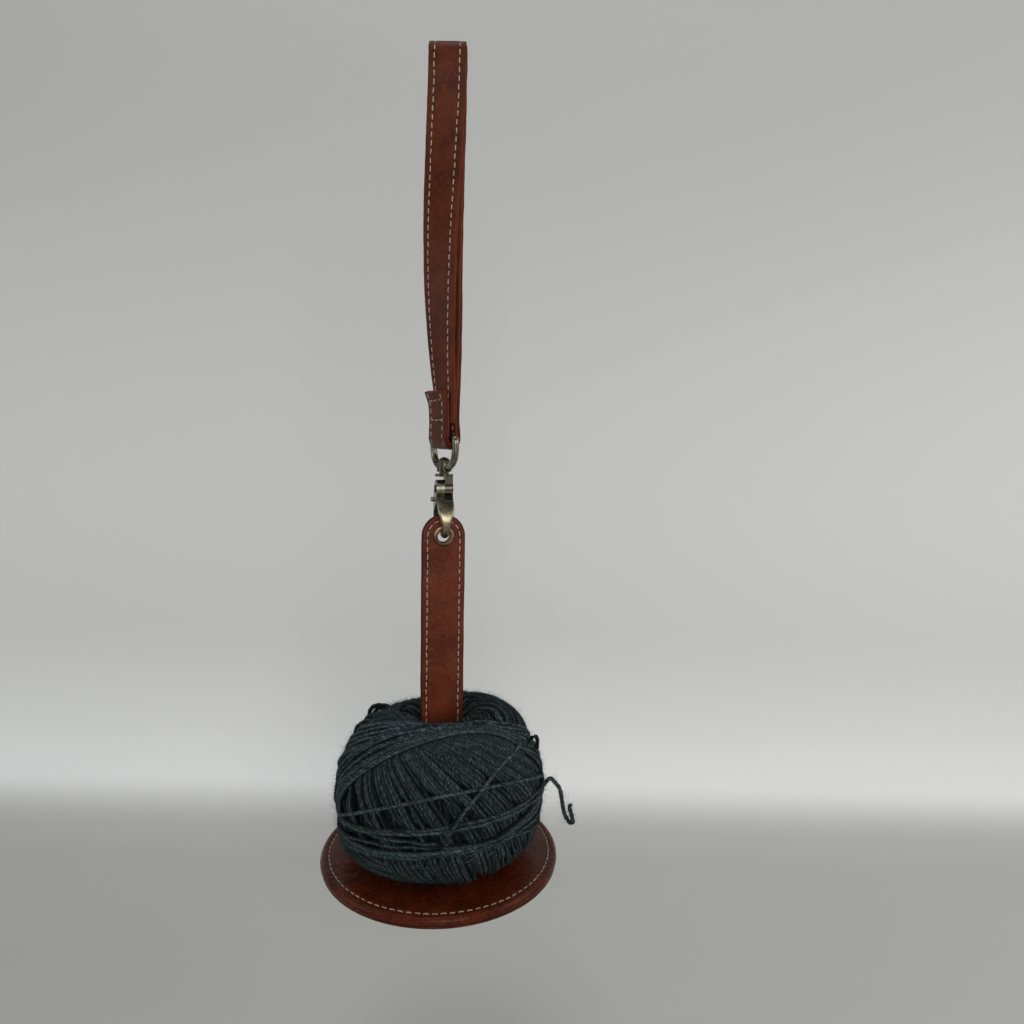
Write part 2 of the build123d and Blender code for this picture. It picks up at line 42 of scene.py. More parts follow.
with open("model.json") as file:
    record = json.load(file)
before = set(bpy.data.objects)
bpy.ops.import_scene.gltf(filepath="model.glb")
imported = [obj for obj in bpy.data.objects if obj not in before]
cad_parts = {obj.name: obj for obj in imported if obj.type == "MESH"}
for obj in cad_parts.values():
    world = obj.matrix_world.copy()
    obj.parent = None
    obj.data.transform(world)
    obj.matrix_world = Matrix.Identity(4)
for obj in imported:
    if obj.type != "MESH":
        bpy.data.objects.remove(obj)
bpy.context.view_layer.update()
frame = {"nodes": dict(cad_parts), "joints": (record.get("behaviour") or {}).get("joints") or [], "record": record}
joints = {joint["name"]: joint for joint in frame["joints"]}
mounts = {mount["name"]: mount for mount in frame["record"]["mounts"]}


def box_mm(node):
    """Lowest and highest corner of a CAD node, in millimetres."""
    low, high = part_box(node)
    return np.array(low) / MM, np.array(high) / MM


# ------------------------------------------------------------------ places taken from the frame

RING_AXIS = np.array(joints["ring_in_fold"]["axis"])
RING_Z = joints["ring_in_fold"]["pos_m"][2] / MM
LOOP_YAW = -atan2(RING_AXIS[1], RING_AXIS[0])
POST_NORMAL = np.array(joints["post_swing"]["axis"])
POST_YAW = atan2(-POST_NORMAL[0], POST_NORMAL[1])
PEG_Z = mounts["hanging_loop"]["pos_m"][2] / MM
PEG_RADIUS = mounts["hanging_loop"]["dims"]["r_mm"]
LOOP_TOP = box_mm("strap_outer_leather")[1][2]
BASE_TOP = box_mm("base_top_leather")[1][2]
BASE_RADIUS = box_mm("base_top_leather")[1][1]
SOLE_TOP = box_mm("base_sole_leather")[1][2]
POST_TOP = box_mm("post_front_ply")[1][2]
EYELET_Z = float(sum(box_mm("eyelet_washer")[i][2] for i in (0, 1)) / 2)
POST_HALF_WIDTH = POST_TOP - EYELET_Z
BALL_LOW, BALL_HIGH = box_mm("yarn_ball")
BALL_RADIUS = (BALL_HIGH[0] - BALL_LOW[0]) / 2

# ------------------------------------------------------------------ small tools

LATTICE = 32


def noise(points, cell, seed):
    """Smooth noise from -1 to 1 at N x 3 points in mm. Its features are about cell mm across."""
    lattice = np.random.RandomState(seed).uniform(-1, 1, (LATTICE,) * 3)
    grid = np.asarray(points, float) / cell + 16 * LATTICE
    corner = np.floor(grid).astype(int)
    share = grid - corner
    share = share * share * (3 - 2 * share)
    total = np.zeros(len(grid))
    for dx in (0, 1):
        for dy in (0, 1):
            for dz in (0, 1):
                weight = np.ones(len(grid))
                for axis, step in enumerate((dx, dy, dz)):
                    weight *= share[:, axis] if step else 1 - share[:, axis]
                at = (corner + (dx, dy, dz)) % LATTICE
                total += weight * lattice[at[:, 0], at[:, 1], at[:, 2]]
    return total


def smoothstep(low, high, value):
    share = np.clip((value - low) / (high - low), 0, 1)
    return share * share * (3 - 2 * share)


def unit(vectors):
    return vectors / np.maximum(np.linalg.norm(vectors, axis=-1, keepdims=True), 1e-9)


def turned(points, yaw):
    """Points turned about Z by yaw radians."""
    points = np.asarray(points, float)
    out = points.copy()
    out[..., 0] = points[..., 0] * cos(yaw) - points[..., 1] * sin(yaw)
    out[..., 1] = points[..., 0] * sin(yaw) + points[..., 1] * cos(yaw)
    return out


def evenly(points, spacing):
    """The same curve with points about spacing mm apart."""
    points = np.asarray(points, float)
    run = np.concatenate([[0], np.cumsum(np.linalg.norm(np.diff(points, axis=0), axis=1))])
    count = max(int(round(run[-1] / spacing)), 1) + 1
    where = np.linspace(0, run[-1], count)
    return np.stack([np.interp(where, run, points[:, i]) for i in range(points.shape[1])], axis=1)


def softened(points, passes, ring=False):
    """Averages each point with its neighbours; an open curve's ends stay put."""
    points = np.asarray(points, float).copy()
    for _ in range(passes):
        if ring:
            points = (np.roll(points, 1, 0) + 2 * points + np.roll(points, -1, 0)) / 4
        else:
            points[1:-1] = (points[:-2] + 2 * points[1:-1] + points[2:]) / 4
    return points


def curve_through(points, spacing):
    """A smooth (Catmull-Rom) curve through points, with samples about spacing mm apart."""
    points = np.asarray(points, float)
    ends = np.vstack([2 * points[0] - points[1], points, 2 * points[-1] - points[-2]])
    share = np.linspace(0, 1, 24, endpoint=False)[:, None]
    spans = []
    for a, b, c, d in zip(ends, ends[1:], ends[2:], ends[3:]):
        linear = (c - a) * share
        square = (2 * a - 5 * b + 4 * c - d) * share**2
        cube = (-a + 3 * b - 3 * c + d) * share**3
        spans.append((2 * b + linear + square + cube) / 2)
    return evenly(np.vstack(spans + [points[-1:]]), spacing)


class Build:
    """Collects the points, faces and point values of one mesh."""

    def __init__(self):
        self.points = []
        self.faces = []
        self.values = []
        self.count = 0

    def add(self, points, faces, **values):
        """Adds points (N x 3) and faces that count from 0 in them. values are per point."""
        self.points.append(np.asarray(points, float))
        self.faces.extend(tuple(int(i) + self.count for i in face) for face in faces)
        self.values.append(values)
        self.count += len(points)

    def done(self, name, material):
        """Makes the Blender object."""
        mesh = bpy.data.meshes.new(name)
        mesh.from_pydata((np.vstack(self.points) * MM).tolist(), [], self.faces)
        for key in self.values[0]:
            parts = [np.broadcast_to(v[key], len(p)) for v, p in zip(self.values, self.points)]
            data = np.concatenate(parts)
            mesh.attributes.new(key, "FLOAT", "POINT").data.foreach_set("value", data.astype(np.float32))
        mesh.polygons.foreach_set("use_smooth", [True] * len(mesh.polygons))
        mesh.update()
        mesh.materials.append(material)
        thing = bpy.data.objects.new(name, mesh)
        bpy.context.scene.collection.objects.link(thing)
        return thing


def grid_faces(rows, columns, close_rows=False, close_columns=False):
    """Quads of a grid whose points run row by row. Columns turn to the left of the row direction."""
    faces = []
    for i in range(rows if close_rows else rows - 1):
        for j in range(columns if close_columns else columns - 1):
            next_i = (i + 1) % rows
            next_j = (j + 1) % columns
            here = i * columns
            there = next_i * columns
            faces.append((here + j, here + next_j, there + next_j, there + j))
    return faces


def capped_tube_faces(rows, columns):
    """A closed tube with a flat polygon at each end."""
    faces = grid_faces(rows, columns, close_columns=True)
    faces.append(tuple(range(columns))[::-1])
    faces.append(tuple((rows - 1) * columns + j for j in range(columns)))
    return faces


# ------------------------------------------------------------------ materials


class Nodes:
    """A short way to write a material's nodes."""

    def __init__(self, name):
        self.material = bpy.data.materials.new(name)
        self.material.use_nodes = True
        self.tree = self.material.node_tree
        self.shader = self.tree.nodes["Principled BSDF"]
        self.place = self.make("ShaderNodeTexCoord").outputs["Object"]

    def make(self, kind, **settings):
        node = self.tree.nodes.new(kind)
        for key, value in settings.items():
            setattr(node, key, value)
        return node

    def link(self, output, target):
        self.tree.links.new(output, target)

    def put(self, target, value):
        """Links an output, or sets a plain value."""
        if isinstance(value, bpy.types.NodeSocket):
            self.link(value, target)
        else:
            target.default_value = value

    def put_colour(self, target, value):
        """Links an output, or sets a plain (red, green, blue)."""
        self.put(target, value if isinstance(value, bpy.types.NodeSocket) else (*value, 1))

    def noise(self, scale, detail=3.0, rough=0.5, vector=None, warp=0.0):
        node = self.make("ShaderNodeTexNoise")
        node.inputs["Scale"].default_value = scale
        node.inputs["Detail"].default_value = detail
        node.inputs["Roughness"].default_value = rough
        node.inputs["Distortion"].default_value = warp
        self.link(vector or self.place, node.inputs["Vector"])
        return node.outputs["Fac"]

    def cells(self, scale, vector, feature="F1"):
        node = self.make("ShaderNodeTexVoronoi", feature=feature)
        node.inputs["Scale"].default_value = scale
        self.link(vector, node.inputs["Vector"])
        return node.outputs["Distance"]

    def value(self, name):
        """A value stored on the mesh's points."""
        return self.make("ShaderNodeAttribute", attribute_name=name).outputs["Fac"]

    def height(self):
        """The height of the shaded point, in metres."""
        split = self.make("ShaderNodeSeparateXYZ")
        self.link(self.place, split.inputs[0])
        return split.outputs[2]

    def math(self, operation, a, b=0.0):
        node = self.make("ShaderNodeMath", operation=operation)
        for socket, value in zip(node.inputs, (a, b)):
            self.put(socket, value)
        return node.outputs[0]

    def fit(self, value, low, high, to_low=0.0, to_high=1.0):
        """Maps low..high to to_low..to_high smoothly and holds it at the ends."""
        node = self.make("ShaderNodeMapRange", interpolation_type="SMOOTHSTEP")
        for socket, number in zip(node.inputs, (value, low, high, to_low, to_high)):
            self.put(socket, number)
        return node.outputs[0]

    def mix(self, share, a, b):
        """Colour a where share is 0, colour b where it is 1."""
        node = self.make("ShaderNodeMix", data_type="RGBA")
        self.put(node.inputs[0], share)
        self.put_colour(node.inputs[6], a)
        self.put_colour(node.inputs[7], b)
        return node.outputs[2]

    def stretch(self, x, y, z):
        """Object coordinates with each axis scaled."""
        node = self.make("ShaderNodeMapping")
        node.inputs["Scale"].default_value = (x, y, z)
        self.link(self.place, node.inputs["Vector"])
        return node.outputs[0]

    def bump(self, height, depth, below=None):
        """A bump of depth mm, on top of an earlier one."""
        node = self.make("ShaderNodeBump")
        node.inputs["Distance"].default_value = depth * MM
        self.link(height, node.inputs["Height"])
        if below is not None:
            self.link(below, node.inputs["Normal"])
        return node.outputs[0]

    def finish(self, colour, roughness, normal=None, metallic=0.0, **extra):
        self.put_colour(self.shader.inputs["Base Color"], colour)
        self.put(self.shader.inputs["Roughness"], roughness)
        self.shader.inputs["Metallic"].default_value = metallic
        if normal is not None:
            self.link(normal, self.shader.inputs["Normal"])
        for key, value in extra.items():
            self.put(self.shader.inputs[key.replace("_", " ")], value)
        return self.material


def darker(colour, share):
    return tuple(channel * share for channel in colour)


def leather(name, base, dark, light, gloss, seed):
    """Pull-up leather: pebbled grain, broad colour clouds and darker rolled edges, with painted shade in the
    stitch lines and wherever the mesh's shade value marks it.
    """
    n = Nodes(name)
    shifted = n.make("ShaderNodeMapping")
    shifted.inputs["Location"].default_value = (seed, seed * 0.7, seed * 1.3)
    n.link(n.place, shifted.inputs["Vector"])
    place = shifted.outputs[0]
    clouds = n.noise(55, 4, 0.55, place, 0.4)
    mottle = n.noise(420, 3, 0.6, place)
    colour = n.mix(n.fit(clouds, 0.35, 0.68), dark, base)
    colour = n.mix(n.fit(mottle, 0.45, 0.75, 0, 0.45), colour, light)
    grain = n.cells(1500, place)
    pores = n.noise(2600, 2, 0.6, place)
    creases = n.cells(210, n.place, "DISTANCE_TO_EDGE")
    crease = n.fit(creases, 0.0, 0.10, 1.0, 0.0)
    colour = n.mix(n.math("MULTIPLY", crease, 0.22), colour, dark)
    worn = n.value("edge")
    colour = n.mix(n.fit(worn, 0.25, 1.0, 0, 0.85), colour, darker(dark, 0.38))
    # painted shade from the mesh's shade value: stitch grooves, the disc under the ball, the post's foot
    colour = n.mix(n.fit(n.value("shade"), 0, 1, 0, 0.9), colour, darker(dark, 0.30))
    polish = n.fit(mottle, 0.3, 0.75, gloss - 0.05, gloss + 0.1)
    rough = n.math("ADD", polish, n.math("MULTIPLY", worn, 0.12))
    normal = n.bump(grain, 0.045)
    normal = n.bump(pores, 0.03, normal)
    normal = n.bump(n.math("MULTIPLY", crease, -1.0), 0.05, normal)
    normal = n.bump(clouds, 0.25, normal)
    return n.finish(colour, rough, normal, Specular_IOR_Level=0.12)


def thread_material():
    """Waxed cream thread, with its twist as fine slanted ridges, dirtier here and there."""
    n = Nodes("thread")
    dirt = n.noise(300, 3)
    colour = n.mix(n.fit(dirt, 0.4, 0.75), (0.44, 0.35, 0.28), (0.27, 0.19, 0.14))
    along = n.value("along")
    round_it = n.value("turn")
    twist = n.math("SINE", n.math("ADD", n.math("MULTIPLY", along, 9.0), round_it))
    normal = n.bump(twist, 0.05)
    normal = n.bump(n.noise(4000, 2), 0.03, normal)
    return n.finish(colour, 0.7, normal)


def brass_material(name, dark, bright, rub, gloss, spots=0.5, painted_shade_band=None):
    """Antique plate: a dark patina, rubbed back to brass in broad soft clouds and fine scratches.
    The last argument is a band of heights painted dark as the shade under the hook's boss; above the band the
    colour is darker."""
    n = Nodes(name)
    clouds = n.noise(90, 2, 0.4, None, 0.2)
    streaks = n.noise(1.0, 3, 0.6, n.stretch(700, 700, 2600))
    rubbed = n.fit(n.math("ADD", clouds, n.math("MULTIPLY", streaks, 0.1)), 0.40 - rub, 0.74 - rub)
    colour = n.mix(rubbed, dark, bright)
    colour = n.mix(n.fit(n.noise(800, 3, 0.7), 0.60, 0.8, 0, spots), colour, darker(dark, 0.5))
    # painted shade: the band under the boss is darkened as its shadow; above the band the colour is darker
    if painted_shade_band:
        height = n.height()
        low, high = painted_shade_band
        above = n.fit(height, (low - 0.2) * MM, (low + 1.2) * MM)
        below = n.fit(height, (high + 1.0) * MM, (high - 1.2) * MM)
        colour = n.mix(n.math("MULTIPLY", above, below), colour, darker(dark, 0.45))
        upper = n.fit(height, high * MM, (high + 1.2) * MM, 0, 0.85)
        colour = n.mix(upper, colour, darker(dark, 0.55))
    rough = n.fit(streaks, 0.3, 0.7, gloss - 0.06, gloss + 0.1)
    brushed = n.noise(1.0, 2, 0.5, n.stretch(900, 900, 5200))
    normal = n.bump(brushed, 0.008)
    normal = n.bump(clouds, 0.04, normal)
    return n.finish(colour, rough, normal, 1.0)


def yarn_material():
    """Heathered wool: slate and teal fibres that run with the twist, with painted shade in the hollows. flow holds
    the fibres' own coordinates: along the strand, and round it as the plies turn."""
    n = Nodes("yarn")
    along = n.value("along")
    round_it = n.value("turn")
    flow = n.make("ShaderNodeCombineXYZ")
    lead = n.math("SUBTRACT", round_it, n.math("MULTIPLY", along, 0.35))
    n.link(n.math("MULTIPLY", along, 0.9), flow.inputs[0])
    n.link(n.math("MULTIPLY", n.math("COSINE", lead), 4.2), flow.inputs[1])
    n.link(n.math("MULTIPLY", n.math("SINE", lead), 4.2), flow.inputs[2])
    fibre = n.noise(1.0, 4, 0.65, flow.outputs[0])
    lock = n.make("ShaderNodeVectorMath", operation="SCALE")
    n.link(flow.outputs[0], lock.inputs[0])
    lock.inputs["Scale"].default_value = 0.36
    streak = n.noise(1.0, 3, 0.6, lock.outputs[0])
    heather = n.noise(340, 4, 0.7)
    patches = n.noise(60, 2, 0.5)
    colour = n.mix(n.fit(fibre, 0.36, 0.66), (0.003, 0.008, 0.010), (0.070, 0.108, 0.116))
    colour = n.mix(n.fit(streak, 0.36, 0.50, 0.85, 0), colour, (0.004, 0.010, 0.012))
    colour = n.mix(n.fit(streak, 0.49, 0.63, 0, 0.85), colour, (0.165, 0.212, 0.220))
    colour = n.mix(n.fit(heather, 0.50, 0.72, 0, 0.45), colour, (0.007, 0.030, 0.032))
    colour = n.mix(n.fit(heather, 0.28, 0.42, 0.55, 0), colour, (0.145, 0.190, 0.196))
    colour = n.mix(n.fit(patches, 0.4, 0.7, 0, 0.3), colour, (0.018, 0.034, 0.038))
    # painted shade from the depth value, which also holds each strand's random tone
    colour = n.mix(n.fit(n.value("depth"), 0, 1, 0, 0.93), colour, (0.0015, 0.003, 0.004))
    normal = n.bump(fibre, 0.5)
    normal = n.bump(n.noise(2600, 3, 0.7), 0.12, normal)
    sheen = {"Sheen_Weight": 0.06, "Sheen_Roughness": 0.55, "Sheen_Tint": (0.55, 0.65, 0.7, 1)}
    return n.finish(colour, 0.92, normal, Specular_IOR_Level=0.10, **sheen)


def fuzz_material():
    """The stray fibres: a little darker than the strands, so that they don't glitter."""
    n = Nodes("yarn_fuzz")
    colour = n.mix(n.fit(n.noise(500, 2), 0.35, 0.65), (0.010, 0.018, 0.020), (0.045, 0.065, 0.070))
    return n.finish(colour, 0.9, None, Specular_IOR_Level=0.2)


STRAP_LEATHER = leather(
    "strap_leather",
    base=(0.100, 0.021, 0.006),
    dark=(0.060, 0.011, 0.004),
    light=(0.140, 0.038, 0.014),
    gloss=0.40,
    seed=0.13,
)
LINING_LEATHER = leather(
    "lining_leather",
    base=(0.165, 0.036, 0.015),
    dark=(0.110, 0.022, 0.010),
    light=(0.20, 0.054, 0.026),
    gloss=0.55,
    seed=0.71,
)
POST_LEATHER = leather(
    "post_leather",
    base=(0.132, 0.029, 0.012),
    dark=(0.082, 0.016, 0.007),
    light=(0.175, 0.048, 0.022),
    gloss=0.34,
    seed=0.37,
)
BASE_LEATHER = leather(
    "base_leather",
    base=(0.080, 0.014, 0.004),
    dark=(0.044, 0.007, 0.002),
    light=(0.125, 0.029, 0.010),
    gloss=0.27,
    seed=0.91,
)
THREAD = thread_material()

# band of heights on the hook that is painted dark as the shade under its boss
HOOK_WAIST_SHADE = (214.4, 219.2)
BRASS = brass_material("antique_brass", (0.070, 0.062, 0.049), (0.50, 0.45, 0.33), -0.03, 0.24, 0.15)
BRASS_RUBBED = brass_material(
    "antique_brass_rubbed", (0.095, 0.083, 0.058), (0.34, 0.295, 0.185), 0.06, 0.25, 0.1, HOOK_WAIST_SHADE
)
BRASS_PALE = brass_material("antique_brass_pale", (0.13, 0.12, 0.095), (0.40, 0.365, 0.28), 0.06, 0.30, 0.3)
BRASS_DARK = brass_material("antique_brass_dark", (0.050, 0.046, 0.040), (0.23, 0.21, 0.17), -0.02, 0.34)
BRASS_BROWN = brass_material("antique_brass_brown", (0.085, 0.050, 0.030), (0.34, 0.225, 0.14), -0.02, 0.38)
YARN = yarn_material()
FUZZ = fuzz_material()

# ------------------------------------------------------------------ stitches

THREAD_RADIUS = 0.33
STITCH_DIP = 0.5  # how deep a stitch's ends go into their holes
STITCH_SIDES = 8


def stitch(build, start, end, outward, bow=0.16):
    """One stitch from start to end: it dips into its two holes and swells between them."""
    start, end, outward = (np.asarray(v, float) for v in (start, end, outward))
    along = end - start
    length = np.linalg.norm(along)
    along = along / length
    side = np.cross(along, outward)
    first_half = np.array([-0.10, 0.0, 0.07, 0.2, 0.4])
    rise = np.array([-1.8 * STITCH_DIP, -STITCH_DIP, -0.12, 0.7 * bow, bow])
    swell = np.array([0.55, 0.8, 0.95, 1.0, 1.03])
    share = np.concatenate([first_half, 1 - first_half[::-1]])
    lift = np.concatenate([rise, rise[::-1]])
    girth = THREAD_RADIUS * np.concatenate([swell, swell[::-1]])
    angles = np.arange(STITCH_SIDES) * 2 * pi / STITCH_SIDES
    centre = start + np.outer(share * length, along) + np.outer(lift, outward)
    across = np.outer(np.cos(angles), side)
    upward = np.outer(np.sin(angles), outward) * 0.8
    points = (centre[:, None, :] + girth[:, None, None] * (across + upward)[None, :, :]).reshape(-1, 3)
    faces = capped_tube_faces(len(share), STITCH_SIDES)
    along = np.repeat(share * length, STITCH_SIDES)
    build.add(points, faces, along=along, turn=np.tile(angles, len(share)))


def stitch_run(build, path, outward, pitch, gap, seed, wander=0.12):
    """A row of stitches along path (N x 3), on a face with the given outward directions (N x 3)."""
    draw = np.random.RandomState(seed)
    run = np.concatenate([[0], np.cumsum(np.linalg.norm(np.diff(path, axis=0), axis=1))])
    count = int(round(run[-1] / pitch))
    step = run[-1] / count

    def at(where, what):
        return np.array([np.interp(where, run, what[:, i]) for i in range(3)])

    for i in range(count):
        low = i * step + gap / 2 + draw.uniform(-0.1, 0.1)
        high = (i + 1) * step - gap / 2 + draw.uniform(-0.1, 0.1)
        out = unit(at((low + high) / 2, outward))
        side = np.cross(unit(at(high, path) - at(low, path)), out)
        shift = side * draw.uniform(-wander, wander)
        lean = side * draw.uniform(-wander, wander)
        start = at(low, path) + shift - lean
        end = at(high, path) + shift + lean
        stitch(build, start, end, out, draw.uniform(0.10, 0.2))


# ------------------------------------------------------------------ wrist loop

STRAP_WIDTH = 20.0
OUTER_PLY = 1.55
LINING_PLY = 1.4
STRAP = LOOP_TOP - PEG_Z - PEG_RADIUS
FOLD_CENTRE = 2.2 + STRAP / 2
STACK = STRAP + 0.05
TAB_TOP = 275.5
LEG_END = 258.0
TWIST_TOP = 440.0
TWIST_FOOT = 266.0
SEAM_ACROSS = 6.7
FOLD_SAG = 1.5
SEAM_PITCH = 4.35
SEAM_GAP = 1.15
HALF_STRAP = STRAP_WIDTH / 2
FOLD_SIDE = 254.5  # height at which the leather turns in under the ring's bar
LINE_STEP = 0.8
TAB_ROWS = 40
TIE_ROWS = ((259.6, 0.5), (270.6, 1.6))  # height and slant of the two rows that close the tab


def strap_twist(z):
    """Turn of the strap about Z at height z, clockwise seen from above."""
    return LOOP_YAW * np.clip((TWIST_TOP - z) / (TWIST_TOP - TWIST_FOOT), 0, 1) ** 1.25


def strap_sway(z):
    """Sideways bow of the loop at height z: it hangs a little to the left between its ends."""
    return -1.9 * np.exp(-(((z - 358) / 62) ** 2))


def strap_line():
    """The strap's middle line as (forward offset, height): up the front leg, over the peg, down the
    back leg, round the ring's bar and up the tab."""
    top = PEG_RADIUS + STRAP / 2
    half_turn = np.linspace(0, pi, 25)
    over = [(top * cos(a), PEG_Z + top * sin(a)) for a in half_turn]
    under = [(-FOLD_CENTRE * cos(a), RING_Z - (FOLD_CENTRE + FOLD_SAG) * sin(a)) for a in half_turn]
    front = [(0, LEG_END), (0, 268), (0.05, 276), (1.8, 300), (3.2, 340), (3.7, 400), (top - 0.05, 442)]
    back = [(-top, 444), (-3.9, 400), (-3.5, 340), (-3.2, 300), (-STACK, 276), (-STACK, 268), (-STACK, 259)]
    back += [(-FOLD_CENTRE + 0.25, FOLD_SIDE)]
    tab = [(FOLD_CENTRE - 0.25, FOLD_SIDE), (STACK + 0.3, 259), (STACK + 0.7, 268), (STACK + 1.5, 271.5)]
    tab += [(STACK + 2.9, TAB_TOP)]
    line = curve_through(front[:-1], LINE_STEP)
    line = np.vstack([line, curve_through([front[-2], front[-1], over[0]], LINE_STEP)[1:], over[1:]])
    line = np.vstack([line, curve_through([over[-1], *back, under[0]], LINE_STEP)[1:]])
    line = np.vstack([line, under[1:], curve_through([under[-1], *tab], LINE_STEP)[1:]])
    return evenly(softened(evenly(line, LINE_STEP), 3), LINE_STEP)


def strap_frames(line):
    """Middle points, width directions and outward directions of the strap along its line."""
    yaw = -strap_twist(line[:, 1])
    width = np.stack([np.cos(yaw), np.sin(yaw), 0 * yaw], axis=1)
    forward = np.stack([np.sin(yaw), -np.cos(yaw), 0 * yaw], axis=1)
    middle = forward * line[:, :1]
    middle[:, 0] += strap_sway(line[:, 1])
    middle[:, 2] = line[:, 1]
    along = unit(np.gradient(middle, axis=0))
    outward = unit(np.cross(width, along))
    return middle, unit(np.cross(along, outward)), outward


def ply_section(thickness, corner, columns=30):
    """Points (across, height) round a ply's cross-section."""
    flat = HALF_STRAP - corner
    across = np.sin(np.linspace(-pi / 2, pi / 2, columns)) * flat
    turn = np.linspace(pi / 2, -pi / 2, 9)[1:-1]
    right = [(flat + corner * cos(a), thickness / 2 * sin(a)) for a in turn]
    left = [(-flat - corner * cos(a), -thickness / 2 * sin(a)) for a in turn]
    upper = [(x, thickness / 2) for x in across]
    lower = [(x, -thickness / 2) for x in across[::-1]]
    return np.array(upper + right + lower + left)


def strap_ply(name, low, thickness, material, seed, outer):
    """One layer of the strap. low is the height of its inner face above the strap's inner face."""
    middle, width, outward = strap_frames(LINE)
    section = ply_section(thickness, 0.75)
    rows, columns = len(middle), len(section)
    run = np.arange(rows) * LINE_STEP
    x = np.broadcast_to(section[:, 0], (rows, columns)).copy()
    h = np.broadcast_to(section[:, 1], (rows, columns)).copy()
    face = 1.0 if outer else -1.0
    shown = np.clip(h * face / (thickness / 2), 0, 1)
    seam = np.exp(-(((np.abs(x) - SEAM_ACROSS) / 0.75) ** 2))
    pull = 0.6 + 0.4 * np.cos(2 * pi * run / SEAM_PITCH)[:, None]
    crown = 0.16 * (1 - (x / HALF_STRAP) ** 2)
    h += face * shown * (crown - 0.28 * seam * pull)
    centre = low + thickness / 2 - STRAP / 2
    sideways = width[:, None, :] * x[..., None]
    raised = outward[:, None, :] * (h + centre)[..., None]
    flat = (middle[:, None, :] + sideways + raised).reshape(-1, 3)
    edge_in = 0.30 * noise(flat, 9, seed) + 0.13 * noise(flat, 2.6, seed + 1)
    rough_edge = (np.abs(x) / HALF_STRAP) ** 8
    push = (np.sign(x) * rough_edge).ravel() * edge_in * 0.7
    lift = 0.07 * noise(flat, 4.5, seed + 2) + 0.035 * noise(flat, 1.8, seed + 3)
    points = flat + np.repeat(width, columns, 0) * push[:, None]
    points = points + np.repeat(outward, columns, 0) * (lift * shown.ravel() * face)[:, None]
    edge = 0.45 * smoothstep(8.9, 9.95, np.abs(x)).ravel()
    shade = (seam * 0.45 * shown).ravel()
    build = Build()
    build.add(points, capped_tube_faces(rows, columns), edge=edge, shade=shade)
    thing = build.done(name, material)
    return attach(thing, "wrist_strap")


LINE = strap_line()


def strap_stitching():
    """Both seams on the loop's outside and inside, and the box stitch on the tab."""
    build = Build()
    middle, width, outward = strap_frames(LINE)
    heights = LINE[:, 1]
    for side in (-1, 1):
        for face, seed in ((1, 11), (-1, 12)):
            path = middle + width * side * SEAM_ACROSS + outward * face * (STRAP / 2 - 0.06)
            stitch_run(build, path, outward * face, SEAM_PITCH, SEAM_GAP, seed + side)
    tab = np.arange(len(LINE)) > len(LINE) - TAB_ROWS
    for z, slant in TIE_ROWS:
        row = int(np.argmin(np.abs(heights - z) + 1000 * ~tab))
        edge = width[row] * SEAM_ACROSS
        up = np.array([0, 0, slant])
        face = middle[row] + outward[row] * (STRAP / 2 - 0.02)
        path = evenly(np.array([face - edge - up / 2, face + edge + up / 2]), 0.5)
        stitch_run(build, path, np.tile(outward[row], (len(path), 1)), 4.4, 0.7, int(z), 0.35)
    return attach(build.done("strap_thread", THREAD), "wrist_strap")


outer_strap = strap_ply("strap_outer", STRAP - OUTER_PLY, OUTER_PLY, STRAP_LEATHER, 21, True)
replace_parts(outer_strap, "strap_outer_leather")
lining_strap = strap_ply("strap_inner", 0.0, LINING_PLY, LINING_LEATHER, 31, False)
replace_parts(lining_strap, "strap_lining")
strap_thread = strap_stitching()
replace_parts(strap_thread, "strap_stitching")

# ------------------------------------------------------------------ post

POST_PLY = 1.7
POST_SEAM = 3.2
EYELET_HOLE = 4.15
POST_PITCH = 4.4
PLY_GAP = 0.04  # from the post's middle plane to the inner face of each ply
SQUARE_FOOT = EYELET_Z - POST_HALF_WIDTH


def outline_depth(x, z):
    """How far a point of the post's face lies inside its outline."""
    return POST_HALF_WIDTH - np.where(z > EYELET_Z, np.hypot(x, z - EYELET_Z), np.abs(x))


